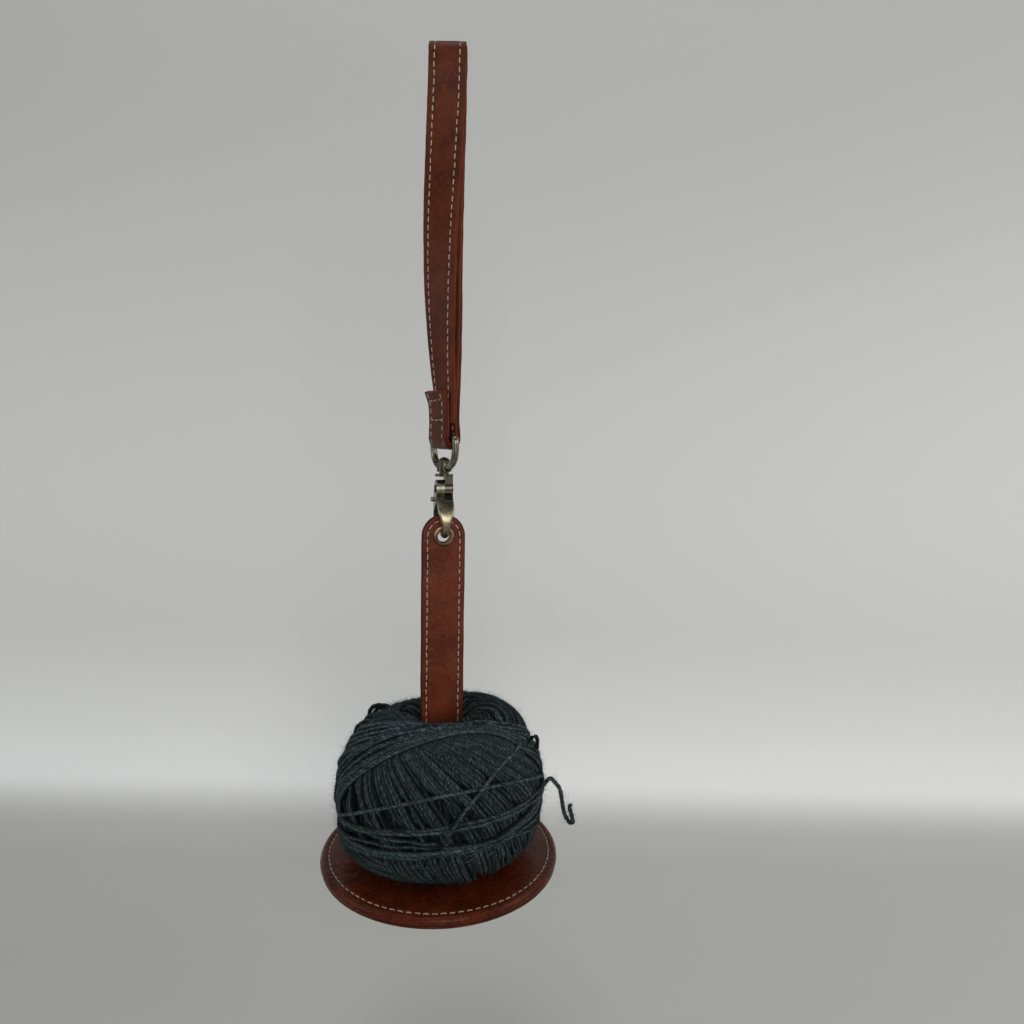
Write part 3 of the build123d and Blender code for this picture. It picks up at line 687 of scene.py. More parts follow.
def post_ply(name, side, seed):
    """One ply of the post. side is -1 at the front and 1 at the back."""
    columns = np.sin(np.linspace(-pi / 2, pi / 2, 34)) * POST_HALF_WIDTH
    climb = np.linspace(-POST_HALF_WIDTH, 0, 9)[1:]
    arch = np.linspace(0, pi, 61)[1:-1]
    rim = [(x, -POST_HALF_WIDTH) for x in columns]
    rim += [(POST_HALF_WIDTH, dz) for dz in climb]
    rim += [(POST_HALF_WIDTH * cos(a), POST_HALF_WIDTH * sin(a)) for a in arch]
    rim += [(-POST_HALF_WIDTH, dz) for dz in climb[::-1]]
    rim = np.array(rim)
    rings = 30
    share = np.sin(np.linspace(0, pi / 2, rings))[:, None, None]
    start = unit(rim) * EYELET_HOLE
    fan = start + (rim - start) * share
    down = np.linspace(SQUARE_FOOT, BASE_TOP - 1.2, 240)[1:]
    strip = np.stack(np.meshgrid(columns, down - EYELET_Z), axis=-1)
    flat = np.vstack([fan.reshape(-1, 2), strip.reshape(-1, 2)])
    x, z = flat[:, 0], flat[:, 1] + EYELET_Z
    depth = np.maximum(outline_depth(x, z), 0)
    corner = 1.15
    thick = POST_PLY - corner + np.sqrt(np.maximum(corner**2 - np.maximum(corner - depth, 0) ** 2, 0))
    seam = np.exp(-(((depth - POST_SEAM) / 0.8) ** 2))
    run = np.where(z > EYELET_Z, EYELET_Z + np.arctan2(z - EYELET_Z, np.abs(x)) * 9.3, z)
    thick -= 0.30 * seam * (0.6 + 0.4 * np.cos(2 * pi * run / POST_PITCH))
    place = np.stack([x, np.full_like(x, side * 40.0), z], axis=1)
    waves = 0.18 * noise(place * (0.5, 1, 1.5), 14, seed)
    waves += 0.07 * noise(place * (0.6, 1, 1.7), 4.2, seed + 1)
    thick += waves * smoothstep(0.3, 3.0, depth) * smoothstep(6.5, 9.0, np.hypot(x, z - EYELET_Z))
    wander = 0.22 * noise(place, 11, seed + 2) * smoothstep(3.0, 0.0, depth)
    inner = np.full_like(x, PLY_GAP)
    both = []
    for y in (thick, inner):
        both.append(np.stack([x * (1 + wander / POST_HALF_WIDTH), side * y, z], axis=1))
    rays, wide = len(rim), len(columns)
    fan_faces = grid_faces(rings, rays, close_columns=True)
    first = rings * rays
    bottom = [(rings - 1) * rays + j for j in range(wide)]
    strip_faces = [(bottom[j], bottom[j + 1], first + j + 1, first + j) for j in range(wide - 1)]
    strip_faces += [tuple(i + first for i in face) for face in grid_faces(len(down), wide)]
    faces = fan_faces + [f[::-1] for f in strip_faces]
    total = len(flat)
    last = first + (len(down) - 1) * wide
    left = [(rings - 1) * rays] + [first + i * wide for i in range(len(down))]
    right = [(rings - 1) * rays + wide - 1] + [first + i * wide + wide - 1 for i in range(len(down))]
    outer_rim = [(rings - 1) * rays + j for j in range(wide - 1, rays)] + [(rings - 1) * rays]
    foot = [last + j for j in range(wide)]
    hole = list(range(rays)) + [0]
    sides = []
    for loop in (left, right[::-1], outer_rim[::-1], foot, hole):
        sides += [(a, b, b + total, a + total) for a, b in zip(loop, loop[1:])]
    faces += [tuple(i + total for i in f[::-1]) for f in faces] + sides
    points = turned(np.vstack(both), POST_YAW)
    edge = np.tile(smoothstep(1.5, 0.1, depth), 2)
    near_base = smoothstep(BASE_TOP + 14, BASE_TOP, z)
    shade = np.tile(np.clip(seam * 0.45 + near_base * 0.3, 0, 1), 2)
    build = Build()
    build.add(points, faces, edge=edge, shade=shade)
    thing = build.done(name, POST_LEATHER)
    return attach(thing, "holder")


def mend_normals(thing):
    """Turns every face of a closed piece outwards."""
    mesh = thing.data
    work = bmesh.new()
    work.from_mesh(mesh)
    bmesh.ops.recalc_face_normals(work, faces=work.faces)
    work.to_mesh(mesh)
    work.free()
    return thing


def post_thread():
    """The arch of stitches on the post's front and back."""
    arch = POST_HALF_WIDTH - POST_SEAM
    build = Build()
    for side in (-1, 1):
        low = BASE_TOP + 1.0
        path = [(-arch, low), (-arch, EYELET_Z)]
        path += [(-arch * cos(a), EYELET_Z + arch * sin(a)) for a in np.linspace(0, pi, 40)[1:-1]]
        path += [(arch, EYELET_Z), (arch, low)]
        path = evenly(np.array([(x, side * (POST_PLY - 0.10), z) for x, z in path]), 0.4)
        outward = np.tile((0.0, float(side), 0.0), (len(path), 1))
        path = turned(path, POST_YAW)
        outward = turned(outward, POST_YAW)
        stitch_run(build, path, outward, POST_PITCH, SEAM_GAP, 40 + side)
    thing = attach(build.done("post_thread", THREAD), "holder")
    return thing


for ply_name, ply_side, ply_seed, ply_node in (
    ("post_front", -1, 51, "post_front_ply"),
    ("post_back", 1, 61, "post_back_ply"),
):
    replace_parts(mend_normals(post_ply(ply_name, ply_side, ply_seed)), ply_node)
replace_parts(post_thread(), "post_stitching")


def lathe(name, profile, material, steps=72):
    """A closed ring turned about the local Y axis through the eyelet, from (radius, y) points."""
    profile = np.array(profile, float)
    angles = np.arange(steps) * 2 * pi / steps
    radius, y = profile[:, 0], profile[:, 1]
    points = np.stack(
        [
            np.outer(np.cos(angles), radius),
            np.tile(y, (steps, 1)),
            EYELET_Z + np.outer(np.sin(angles), radius),
        ],
        axis=-1,
    ).reshape(-1, 3)
    build = Build()
    faces = grid_faces(steps, len(profile), close_rows=True, close_columns=True)
    build.add(turned(points, POST_YAW), faces)
    return mend_normals(build.done(name, material))


def arc_points(centre, radius, start, stop, count):
    """Points on an elliptic arc from start to stop degrees. radius is (across, along)."""
    across, along = radius
    angles = np.radians(np.linspace(start, stop, count))
    return [(centre[0] + across * cos(a), centre[1] + along * sin(a)) for a in angles]


FLANGE = arc_points((4.75, -POST_PLY + 0.02), (1.25, 0.62), 0, -180, 17)
ROLL = arc_points((4.3, 2.15), (0.8, 0.45), 180, 0, 11)
EYELET = FLANGE + [(3.5, 0.0), (3.5, 2.2)] + ROLL + [(4.1, 1.9), (4.1, -1.4)]
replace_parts(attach(lathe("eyelet_ring", EYELET, BRASS_BROWN), "holder"), "eyelet")
WASHER = [(4.12, 1.72), (5.9, 1.72)] + arc_points((5.75, 1.93), (0.25, 0.2), -45, 90, 6) + [(4.12, 2.13)]
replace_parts(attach(lathe("eyelet_back_washer", WASHER, BRASS_BROWN), "holder"), "eyelet_washer")

# ------------------------------------------------------------------ base

BASE_SEAM = 65.0
BASE_PITCH = 4.6


def turned_disc(name, profile, material, seed, waves, seam_radius=None):
    """A closed disc swept about Z from (radius, z) points that start and end on the axis."""
    profile = np.array(profile, float)
    steps = 288
    angles = np.arange(steps) * 2 * pi / steps
    inner = profile[1:-1]
    radius = np.tile(inner[:, 0], (steps, 1))
    z = np.tile(inner[:, 1], (steps, 1))
    theta = np.repeat(angles[:, None], len(inner), 1)
    seam = np.zeros_like(radius)
    if seam_radius:
        stitches = round(2 * pi * seam_radius / BASE_PITCH)
        seam = np.exp(-(((radius - seam_radius) / 0.85) ** 2)) * (z > BASE_TOP / 2)
        z = z - 0.22 * seam * (0.55 + 0.45 * np.cos(stitches * theta))
        outside = smoothstep(seam_radius, seam_radius + 2.0, radius)
        outside = outside * smoothstep(BASE_RADIUS, seam_radius + 2.5, radius)
        z = z + 0.10 * np.cos(stitches * theta + pi) * outside
    flat = np.stack([radius * np.cos(theta), radius * np.sin(theta), z], axis=-1).reshape(-1, 3)
    lift = noise(flat * (1, 1, 0.3), 24, seed) * waves + noise(flat, 5, seed + 1) * waves * 0.18
    bulge = noise(flat, 16, seed + 2) * waves * 0.8 + noise(flat, 4, seed + 3) * waves * 0.22
    rim = smoothstep(BASE_RADIUS - 3.5, BASE_RADIUS, radius).ravel()
    points = flat.copy()
    points[:, 2] += lift * (1 - rim)
    points[:, :2] += unit(flat[:, :2]) * (bulge * rim)[:, None]
    centre = np.array([[0, 0, profile[0, 1]], [0, 0, profile[-1, 1]]])
    count = len(points)
    faces = grid_faces(steps, len(inner), close_rows=True)
    for i in range(steps):
        k = (i + 1) % steps
        faces.append((i * len(inner), k * len(inner), count))
        faces.append((k * len(inner) + len(inner) - 1, i * len(inner) + len(inner) - 1, count + 1))
    middle_shade = smoothstep(58, 30, radius).ravel() * 0.55
    shade = np.clip(middle_shade + seam.ravel() * 0.4, 0, 1)
    edge = np.concatenate([smoothstep(2.6, 1.9, flat[:, 2]) * rim * (flat[:, 2] > SOLE_TOP), [0, 0]])
    build = Build()
    build.add(np.vstack([points, centre]), faces, edge=edge, shade=np.concatenate([shade, [0.6, 0.6]]))
    thing = mend_normals(build.done(name, material))
    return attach(thing, "holder")


TOP_PROFILE = np.vstack(
    [
        evenly([(0, BASE_TOP - 0.35), (62.5, BASE_TOP - 0.35)], 1.6),
        curve_through(
            [
                (63.2, BASE_TOP - 0.36),
                (64.3, BASE_TOP - 0.55),
                (65.0, BASE_TOP - 0.62),
                (65.8, BASE_TOP - 0.42),
                (67.0, BASE_TOP - 0.06),
                (68.4, BASE_TOP - 0.40),
                (69.5, BASE_TOP - 1.5),
                (69.95, BASE_TOP - 2.9),
                (69.7, BASE_TOP - 4.1),
                (69.1, SOLE_TOP + 0.02),
            ],
            0.28,
        ),
        [(60.0, SOLE_TOP + 0.05), (0, SOLE_TOP + 0.05)],
    ]
)
base_top = turned_disc("base_top", TOP_PROFILE, BASE_LEATHER, 71, 0.28, BASE_SEAM)
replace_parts(base_top, "base_top_leather")
SOLE_EDGE = [(68.7, SOLE_TOP - 0.03), (69.35, 1.45), (69.5, 0.9), (69.3, 0.3), (68.7, 0.02)]
SOLE_PROFILE = np.vstack(
    [
        [(0, SOLE_TOP - 0.02), (60, SOLE_TOP - 0.02)],
        curve_through(SOLE_EDGE, 0.25),
        evenly([(66.5, 0.0), (0, 0.0)], 2.0),
    ]
)
base_sole = turned_disc("base_sole", SOLE_PROFILE, BASE_LEATHER, 81, 0.05)
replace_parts(base_sole, "base_sole_leather")


def base_thread():
    """The ring of stitches on the base's top and the bobbin side on the sole."""
    build = Build()
    angles = np.linspace(0, 2 * pi, 721)
    for z, up, wander in ((BASE_TOP - 0.62, 1.0, 0.1125), (0.12, -1.0, 0.09)):
        ring = np.stack([BASE_SEAM * np.cos(angles), BASE_SEAM * np.sin(angles), 0 * angles + z], axis=1)
        outward = np.tile((0, 0, up), (len(ring), 1))
        stitch_run(build, ring, outward, BASE_PITCH, 1.2, int(90 + up), wander)
    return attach(build.done("base_thread", THREAD), "holder")


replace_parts(base_thread(), "base_stitching")

# ------------------------------------------------------------------ hardware from the CAD


def board_material():
    """Pressed board, hidden in the base."""
    n = Nodes("board")
    colour = n.mix(n.noise(300, 4), (0.16, 0.12, 0.08), (0.24, 0.19, 0.13))
    return n.finish(colour, 0.9, n.bump(n.noise(900), 0.1))


def steel_material():
    """Spring steel, hidden behind the trigger."""
    n = Nodes("spring_steel")
    colour = n.mix(n.noise(600, 2), (0.30, 0.30, 0.30), (0.45, 0.45, 0.44))
    return n.finish(colour, 0.35, n.bump(n.noise(3000), 0.01), 1.0)


for node, finish in (
    ("swivel_eye", BRASS),
    ("swivel_stud", BRASS_DARK),
    ("hook_body", BRASS_RUBBED),
    ("trigger", BRASS_PALE),
    ("trigger_pin", BRASS_DARK),
    ("trigger_spring", steel_material()),
    ("base_board", board_material()),
):
    thing = frame["nodes"][node]
    thing.data.materials.clear()
    thing.data.materials.append(finish)

# ------------------------------------------------------------------ yarn

YARN_RADIUS = 1.35
BALL_CENTRE = np.array([0.0, 0.0, 50.0])
BODY_SHADE = 0.25  # how much darker the body's strands are than the belts over them
INNER_SHADE = 0.55  # the same for the strands that show in the gaps
BELT_SINK = 0.7  # mm from the outline in to the body and the belts
INNER_SINK = 3.2
POLE_SINK = 1.2
FIRST_HALF = 60  # turns of the body in its first piece
OUTLINE = (
    (0, BALL_LOW[2]),
    (36, BALL_LOW[2] + 0.2),
    (46, 10.5),
    (53, 17),
    (59.4, 27),
    (62.4, 38),
    (62.9, 50),
    (60.4, 62),
    (53.5, 74),
    (46, 83),
    (38, 89.2),
    (30, 92.8),
    (21, 91.0),
    (13, 83),
    (0, 76),
)
OUTLINE_TURN = np.array([atan2(z - BALL_CENTRE[2], r) for r, z in OUTLINE])
OUTLINE_REACH = np.array([hypot(r, z - BALL_CENTRE[2]) for r, z in OUTLINE])


def reach(directions):
    """Distance from the ball's centre to its outside. The top is higher at the right and the front,
    lower at the back on the left, and the ball is fuller at the lower left."""
    round_it = np.interp(np.arcsin(np.clip(directions[:, 2], -1, 1)), OUTLINE_TURN, OUTLINE_REACH)
    x, y, z = directions.T
    left, right, back = np.maximum(-x, 0), np.maximum(x, 0), np.maximum(y, 0)
    top = 2.6 * x - 3.6 * y - 13 * left * back + 6 * right * back
    full = 3.4 * left * np.exp(-(((z + 0.42) / 0.25) ** 2))
    return round_it + top * smoothstep(0.35, 0.8, z) + full


def winding(lean, heading, opening, wobble, draw, swirl=0.0):
    """A closed loop of unit directions: a circle of opening degrees about an axis that leans from +Z
    towards heading. It wobbles a little, as a hand-wound turn does. swirl turns it about Z by more
    towards the top and the bottom, which flattens it above the middle and steepens it below."""
    lean, heading = radians(lean), radians(heading)
    axis = np.array([sin(lean) * cos(heading), sin(lean) * sin(heading), cos(lean)])
    across = unit(np.cross(axis, (0.0, 0.0, 1.0) if lean > 0.1 else (1.0, 0.0, 0.0)))
    third = np.cross(axis, across)
    count = int(2 * pi * BALL_RADIUS * sin(radians(opening)) / 1.0)
    turn = np.linspace(0, 2 * pi, count, endpoint=False)
    open_by = np.full(count, radians(opening))
    for waves in (1, 2, 3, 5):
        open_by += radians(wobble) / waves * draw.normal() * np.sin(waves * turn + draw.uniform(0, 2 * pi))
    ring = np.outer(np.cos(turn), across) + np.outer(np.sin(turn), third)
    loop = np.cos(open_by)[:, None] * axis + np.sin(open_by)[:, None] * ring
    yaw = swirl * np.arcsin(np.clip(loop[:, 2], -1, 1)) ** 2
    x = loop[:, 0] * np.cos(yaw) - loop[:, 1] * np.sin(yaw)
    y = loop[:, 0] * np.sin(yaw) + loop[:, 1] * np.cos(yaw)
    return np.stack([x, y, loop[:, 2]], axis=1)


def every_direction(count):
    """Unit directions spread evenly over a ball."""
    index = np.arange(count) + 0.5
    up = 1 - 2 * index / count
    turn = index * pi * (3 - sqrt(5))
    ring = np.sqrt(1 - up * up)
    return np.stack([ring * np.cos(turn), ring * np.sin(turn), up], axis=1)


class Layer:
    """Strands laid one after another over a shell. Each rests on those under it, and presses them in.

    The height of the wound surface is kept in a grid of cells that the unit ball passes through."""

    half = 80
    softness = 6.0

    def __init__(self, floor=None):
        self.top = np.zeros((2 * self.half + 2,) * 3, np.float32)
        self.shell = np.zeros_like(self.top)
        everywhere = every_direction(600000)
        self.shell[self.cell(everywhere)] = 1
        if floor is not None:
            self.top[self.cell(everywhere)] = floor(everywhere)
        self.strands = []

    def cell(self, directions):
        at = np.rint(directions * self.half + self.half).astype(int)
        return at[..., 0], at[..., 1], at[..., 2]

    def lay(self, directions, press, ends_at=-1.0):
        """Adds a closed strand along unit directions. press is how far it keeps its round shape. Below
        ends_at, as a share of the ball's half height, it is tucked in and not drawn."""
        ahead = np.roll(directions, -1, 0) - np.roll(directions, 1, 0)
        side = unit(np.cross(directions, ahead))
        thick = YARN_RADIUS * press
        height = np.full(len(directions), -9.0)
        for offset in np.linspace(-0.95 * thick, 0.95 * thick, 9):
            rest = self.top[self.cell(unit(directions + side * offset / BALL_RADIUS))]
            rise = sqrt(thick**2 - offset**2) * np.exp(-np.maximum(rest, 0) / self.softness)
            height = np.maximum(height, rest + rise)
        for _ in range(4):
            spread = np.maximum(np.roll(height, 1), np.roll(height, -1))
            height = np.maximum(height, spread - 0.15)
        height = softened(height[:, None], 10, True)[:, 0]
        fine = unit(np.vstack([directions, directions + ahead * 0.25]))
        both = np.concatenate([height, height])
        wide = np.vstack([side, side])
        for offset in np.linspace(-thick, thick, 11):
            at = self.cell(unit(fine + wide * offset / BALL_RADIUS))
            rise = sqrt(max(thick**2 - offset**2, 0)) * np.exp(-np.maximum(both, 0) / self.softness)
            np.maximum.at(self.top, at, (both + rise).astype(np.float32))
        self.strands.append((directions, height, ends_at))

    def mean_top(self, spread):
        """The height of the wound surface, averaged over about spread cells, by direction."""
        fields = [self.top * self.shell, self.shell]
        cells = int(spread * 2.2)
        kernel = np.exp(-0.5 * (np.arange(-cells, cells + 1) / spread) ** 2)
        for axis in range(3):
            for i, field in enumerate(fields):
                fields[i] = sum(k * np.roll(field, shift - cells, axis) for shift, k in enumerate(kernel))
        mean = fields[0] / np.maximum(fields[1], 1e-6)
        return lambda directions: mean[self.cell(directions)]


def wind_ball():
    """The ball in three layers, from the inside out: turns close by the post, the body, the belts."""
    draw = np.random.RandomState(5)

    def band(layer, first, last, count, wobble=0.5, press=0.78, sway=0.0, waves=3, swirl=0.0, ends_at=-1.0):
        """count turns whose (lean, heading, opening) go evenly from first to last."""
        for share in np.linspace(0, 1, count):
            lean, heading, opening = (a + (b - a) * share for a, b in zip(first, last))
            lean += sway * sin(2 * pi * waves * share) + draw.normal(0, 0.2)
            heading += draw.normal(0, 0.25)
            loop = winding(lean, heading, opening + draw.normal(0, 0.2), wobble, draw, swirl)
            layer.lay(loop, press, ends_at)

    inner = Layer()
    band(inner, (79, -200, 90), (79, 10, 90), 74, 0.8, 0.78, 5.0)
    body = Layer()
    band(body, (60, -160, 90), (59, -22, 90), 59, 0.3, 0.78, 0.6, 2, -0.4)
    # turns that sag round the lower left
    band(body, (56, -105, 72.5), (17, -102, 92), 10, 0.6)
    band(body, (52, -118, 62), (58, -108, 74), 5, 0.7)
    band(body, (59, -34, 90), (58, 40, 90), 31, 0.3, 0.78, 0.0, 2, -0.4)
    band(body, (58, 41, 90), (56, 96, 90), 22, 0.3, 0.78, 0.4, 1, -0.4)
    mean = body.mean_top(6)
    outer = Layer(lambda directions: np.clip(body.top[body.cell(directions)] - mean(directions), -1.0, 0.8))
    # turns round the far right of the crater's rim
    band(outer, (54, 26, 34), (62, 34, 45), 8, 0.8)
    # lower belts, spread at the left and close together at the right
    band(outer, (16, -108, 91), (9, -140, 98), 6, 0.4)
    band(outer, (9, 66, 106), (6, 156, 107), 3, 0.4)
    band(outer, (5, -175, 103), (5, -165, 101), 2, 0.4)
    band(outer, (11, 131, 97.5), (10, 128, 99), 2, 0.4)
    # one turn that the broad band crosses at the left
    band(outer, (26.3, 116, 99.5), (26.3, 116, 99.5), 1, 0.2, 0.95)
    # the broad band that climbs from the lower left over the front of the crater
    band(outer, (33, 90, 62), (47, 100, 83), 9, 0.5)
    band(outer, (61, 96, 93), (56, 107, 97), 7, 0.5)
    band(outer, (54.5, 111, 93.5), (54, 113, 96), 3, 0.3)
    # one slanting turn over everything, tucked under the belts
    band(outer, (59, 155, 120), (59, 155, 120), 1, 0.2, 0.95, ends_at=-0.10)
    return inner, body, outer


def strand_mesh(
    build, points, outward, start_turn, girth, depth, closed, draw, sides=9, plies=3, pitch=10.5
):
    """A plied strand: a tube with one ridge per ply, the ridges turning once in pitch mm. depth is how
    shaded it is, from 0 to 1, as one number or one per point."""
    count = len(points)
    ahead = np.roll(points, -1, 0) - np.roll(points, 1, 0)
    if not closed:
        ahead = np.gradient(points, axis=0)
    ahead = unit(ahead)
    side = unit(np.cross(outward, ahead))
    up = np.cross(ahead, side)
    step = np.linalg.norm(np.diff(points, axis=0), axis=1)
    run = np.concatenate([[0], np.cumsum(step)])
    angles = np.arange(sides) * 2 * pi / sides
    twist = start_turn + run * 2 * pi / pitch
    ridge = np.cos(plies * (angles[None, :] - twist[:, None]))
    wobble = 1 + 0.06 * draw.normal(size=(count, 1))
    radius = girth * wobble * (1 + 0.13 * ridge)
    ring = side[:, None, :] * np.cos(angles)[None, :, None] + up[:, None, :] * np.sin(angles)[None, :, None]
    mesh = (points[:, None, :] + radius[..., None] * ring).reshape(-1, 3)
    if closed:
        faces = grid_faces(count, sides, close_rows=True, close_columns=True)
    else:
        faces = capped_tube_faces(count, sides)
    turn = (angles[None, :] - twist[:, None]).ravel()
    low = np.repeat(depth, sides) if not np.isscalar(depth) else np.full(len(mesh), depth)
    # painted shade: the strand's flanks, the grooves between its plies and the given depth darken it; tone is each
    # strand's own random lightness
    flank_shade = np.tile(smoothstep(0.94, 0.30, np.sin(angles)), count)
    tone = 0.5 + 0.5 * sin(37 * start_turn)
    shade_and_tone = np.clip(low + 0.25 * tone + 0.30 * np.clip(-ridge, 0, 1).ravel() + 0.80 * flank_shade, 0, 1)
    build.add(mesh, faces, along=np.repeat(run + 40 * start_turn, sides), turn=turn, depth=shade_and_tone)


def ball_pieces():
    """Meshes for the layers, and the points on top. The first and the second half of the body's turns
    are a piece each."""
    inner, body, outer = wind_ball()
    draw = np.random.RandomState(8)
    sink = outer.mean_top(7)
    tops = []
    builds = {}
    layers = (("inner", inner, INNER_SINK), ("body", body, BELT_SINK), ("outer", outer, BELT_SINK))
    for name, layer, sunk in layers:
        mean = layer.mean_top(6)
        for index, (directions, height, ends_at) in enumerate(layer.strands):
            above = np.clip(height - mean(directions), -6.0, 1.2)
            if layer is outer:
                above = 3.4 * np.tanh(height / 3.4)
            if ends_at > -1:
                above = above - 3.5 * smoothstep(0.09, 0.0, directions[:, 2] - ends_at)
            polar = smoothstep(0.80, 0.92, np.abs(directions[:, 2]))
            depth_in = sunk + (POLE_SINK - sunk) * polar * (layer is inner)
            distance = reach(directions) - depth_in - sink(directions) + above
            distance += draw.uniform(-0.45, 0.15)
            points = BALL_CENTRE + directions * distance[:, None]
            points[:, 2] = np.maximum(points[:, 2], BASE_TOP + YARN_RADIUS)
            cover = layer.top[layer.cell(directions)] - height
            buried = cover > 2.0 * YARN_RADIUS
            if layer is body:
                buried |= outer.top[outer.cell(directions)] - above > 2.6 * YARN_RADIUS
            buried |= directions[:, 2] < ends_at
            # painted shade: strands that others cover, the body under the belts and the inner strands in the gaps
            # are drawn darker
            depth = np.clip((cover - 0.9) / 2.2, 0, 1)
            if layer is inner:
                depth = np.maximum(depth, INNER_SHADE * (1 - polar))
            if layer is body:
                depth = BODY_SHADE + (1 - BODY_SHADE) * depth
            key = name + ("_first" if index < FIRST_HALF else "_second") if layer is body else name
            build = builds.setdefault(key, Build())
            add_shown(build, points, directions, depth, ~buried, draw, tops)
    return builds, np.vstack(tops)


def in_slot(points, gap=YARN_RADIUS):
    """Which points lie in the slot that the post passes through, with a gap round the post."""
    square = turned(points, -POST_YAW)
    return (np.abs(square[:, 0]) < POST_HALF_WIDTH + gap) & (np.abs(square[:, 1]) < POST_PLY + gap)


def add_shown(build, points, directions, depth, keep, draw, tops):
    """Adds the stretches of a closed strand that aren't buried."""
    for _ in range(4):
        keep = keep | np.roll(keep, 1) | np.roll(keep, -1)
    keep = keep & ~in_slot(points)
    start = draw.uniform(0, 2 * pi)
    if keep.all():
        lay_run(build, points, directions, depth, True, start, draw, tops)
        return
    order = np.roll(np.arange(len(keep)), -int(np.argmin(keep)))
    for stretch in np.split(order, np.flatnonzero(np.diff(keep[order].astype(int))) + 1):
        if keep[stretch[0]] and len(stretch) > 6:
            lay_run(build, points[stretch], directions[stretch], depth[stretch], False, start, draw, tops)


def lay_run(build, points, directions, depth, closed, start, draw, tops):
    """One visible stretch of a strand, thinned to the mesh's sample spacing."""
    pick = slice(None, None, 2) if len(points) % 2 == 0 or not closed else slice(None, -1, 2)
    points, directions, depth = points[pick], directions[pick], depth[pick]
    girth = YARN_RADIUS * (0.78 + 0.05 * draw.normal())
    strand_mesh(build, points, directions, start, girth, depth, closed, draw)
    clear = depth < BODY_SHADE + 0.1
    tops.append(np.hstack([points[clear], directions[clear]]))


# loose loops that stand clear of the ball: five at the upper left, one at the upper right
LOOSE_LOOPS = (
    (
        *((-44, 7, 77), (-43.6, 5, 83.0), (-42.9, 5, 87.4), (-40.0, 5, 90.2)),
        *((-35.2, 5, 90.6), (-31.1, 6, 88.4), (-25, 9, 82)),
    ),
    ((-42, 8, 79), (-40.8, 6, 85.0), (-37.5, 6, 89.0), (-32.5, 6, 89.3), (-27.5, 7, 86.4), (-22, 9, 80)),
    ((-38, 9, 81), (-36.0, 8, 86.6), (-31.0, 8, 88.0), (-25.5, 9, 85.8), (-20, 11, 79)),
    ((-48, 2, 76), (-45.8, 2, 81.5), (-41.5, 3, 85.2), (-35.5, 5, 85.0), (-28, 7, 80)),
    (
        *((-51, -3, 71), (-50.6, 0, 76.0), (-49.4, 0, 79.3)),
        *((-46.2, 0, 81.6), (-41.5, 1, 82.3), (-36.7, 4, 80.0)),
    ),
    ((50, -4, 69), (52.4, 0, 72.6), (54.0, 0, 75.0), (55.8, 0, 75.3), (56.9, 1, 72.6), (56.6, 3, 67)),
)


def loose_loops(build, draw):
    for corners in LOOSE_LOOPS:
        points = curve_through(corners, 1.0)
        outward = unit(points - BALL_CENTRE)
        strand_mesh(build, points, outward, draw.uniform(0, 6), YARN_RADIUS * 0.95, 0.0, False, draw)


yarn_builds, yarn_tops = ball_pieces()
loose_loops(yarn_builds["outer"], np.random.RandomState(4))
for layer_name, layer_build in yarn_builds.items():
    turns_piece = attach(layer_build.done("yarn_turns_" + layer_name, YARN), "yarn")
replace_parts(turns_piece, "yarn_ball")


TAIL_GIRTH = 1.2


def tail_points():
    """The loose end: out of the ball on the right, over, down, and its tip turned back up."""
    shape = ((58.0, 41.0), (62.8, 47.5), (65.1, 49.6), (68.0, 46.9), (71.0, 42.8), (72.4, 36.0))
    shape += ((74.2, 27.6), (77.4, 22.4), (79.1, 23.4), (78.0, 28.6), (77.0, 31.4), (78.0, 33.6))
    bend = (0.0, 0.0, 0.0, 0.3, 0.6, 0.8, 0.2, -0.6, -0.9, 0.0, 0.4, 0.2)
    return curve_through([(x, y, z) for (x, z), y in zip(shape, bend)], 0.7)


def tail_piece():
    draw = np.random.RandomState(77)
    points = tail_points()
    build = Build()
    outward = np.tile((0.05, -1.0, 0.1), (len(points), 1))
    last = len(points) - 1
    girth = TAIL_GIRTH * np.interp(np.arange(last + 1), (0, last - 4, last), (1, 1, 0.7))[:, None]
    strand_mesh(build, points, unit(outward), 0.4, girth, 0.0, False, draw, 12, 2, 6.5)
    return build, points


tail_build, tail_line = tail_piece()
yarn_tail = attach(tail_build.done("yarn_tail_end", YARN), "yarn")
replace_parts(yarn_tail, "yarn_tail")


CORE_COLUMNS = 96
CORE_DEPTH = 6.5
CORE_BORE = (13.6, 3.4)  # half sizes of the hole


def core_piece():
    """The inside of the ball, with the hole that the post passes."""
    turns = np.arange(CORE_COLUMNS) * 2 * pi / CORE_COLUMNS
    angle = np.linspace(radians(76), radians(-80), 40)
    build = Build()
    rows = []
    for turn in turns:
        direction = np.stack([np.cos(angle) * cos(turn), np.cos(angle) * sin(turn), np.sin(angle)], axis=1)
        skin = BALL_CENTRE + direction * (reach(direction) - CORE_DEPTH)[:, None]
        bore = np.array([CORE_BORE[0] * cos(turn), CORE_BORE[1] * sin(turn), 0])
        wall = [bore + (0, 0, z) for z in (skin[-1, 2], BALL_CENTRE[2], skin[0, 2])]
        rows.append(np.vstack([skin, wall]))
    points = turned(np.array(rows), POST_YAW)
    rows_count, columns = points.shape[:2]
    flat = points.reshape(-1, 3)
    faces = grid_faces(rows_count, columns, close_rows=True, close_columns=True)
    # depth 0.9 paints the core in deep shade
    build.add(flat, faces, along=flat[:, 2], turn=flat[:, 0], depth=np.full(len(flat), 0.9))
    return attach(mend_normals(build.done("yarn_core", YARN)), "yarn")


core_piece()

FIBRES = 10000
TAIL_FIBRES = 240
FIBRE_RADIUS = 0.058


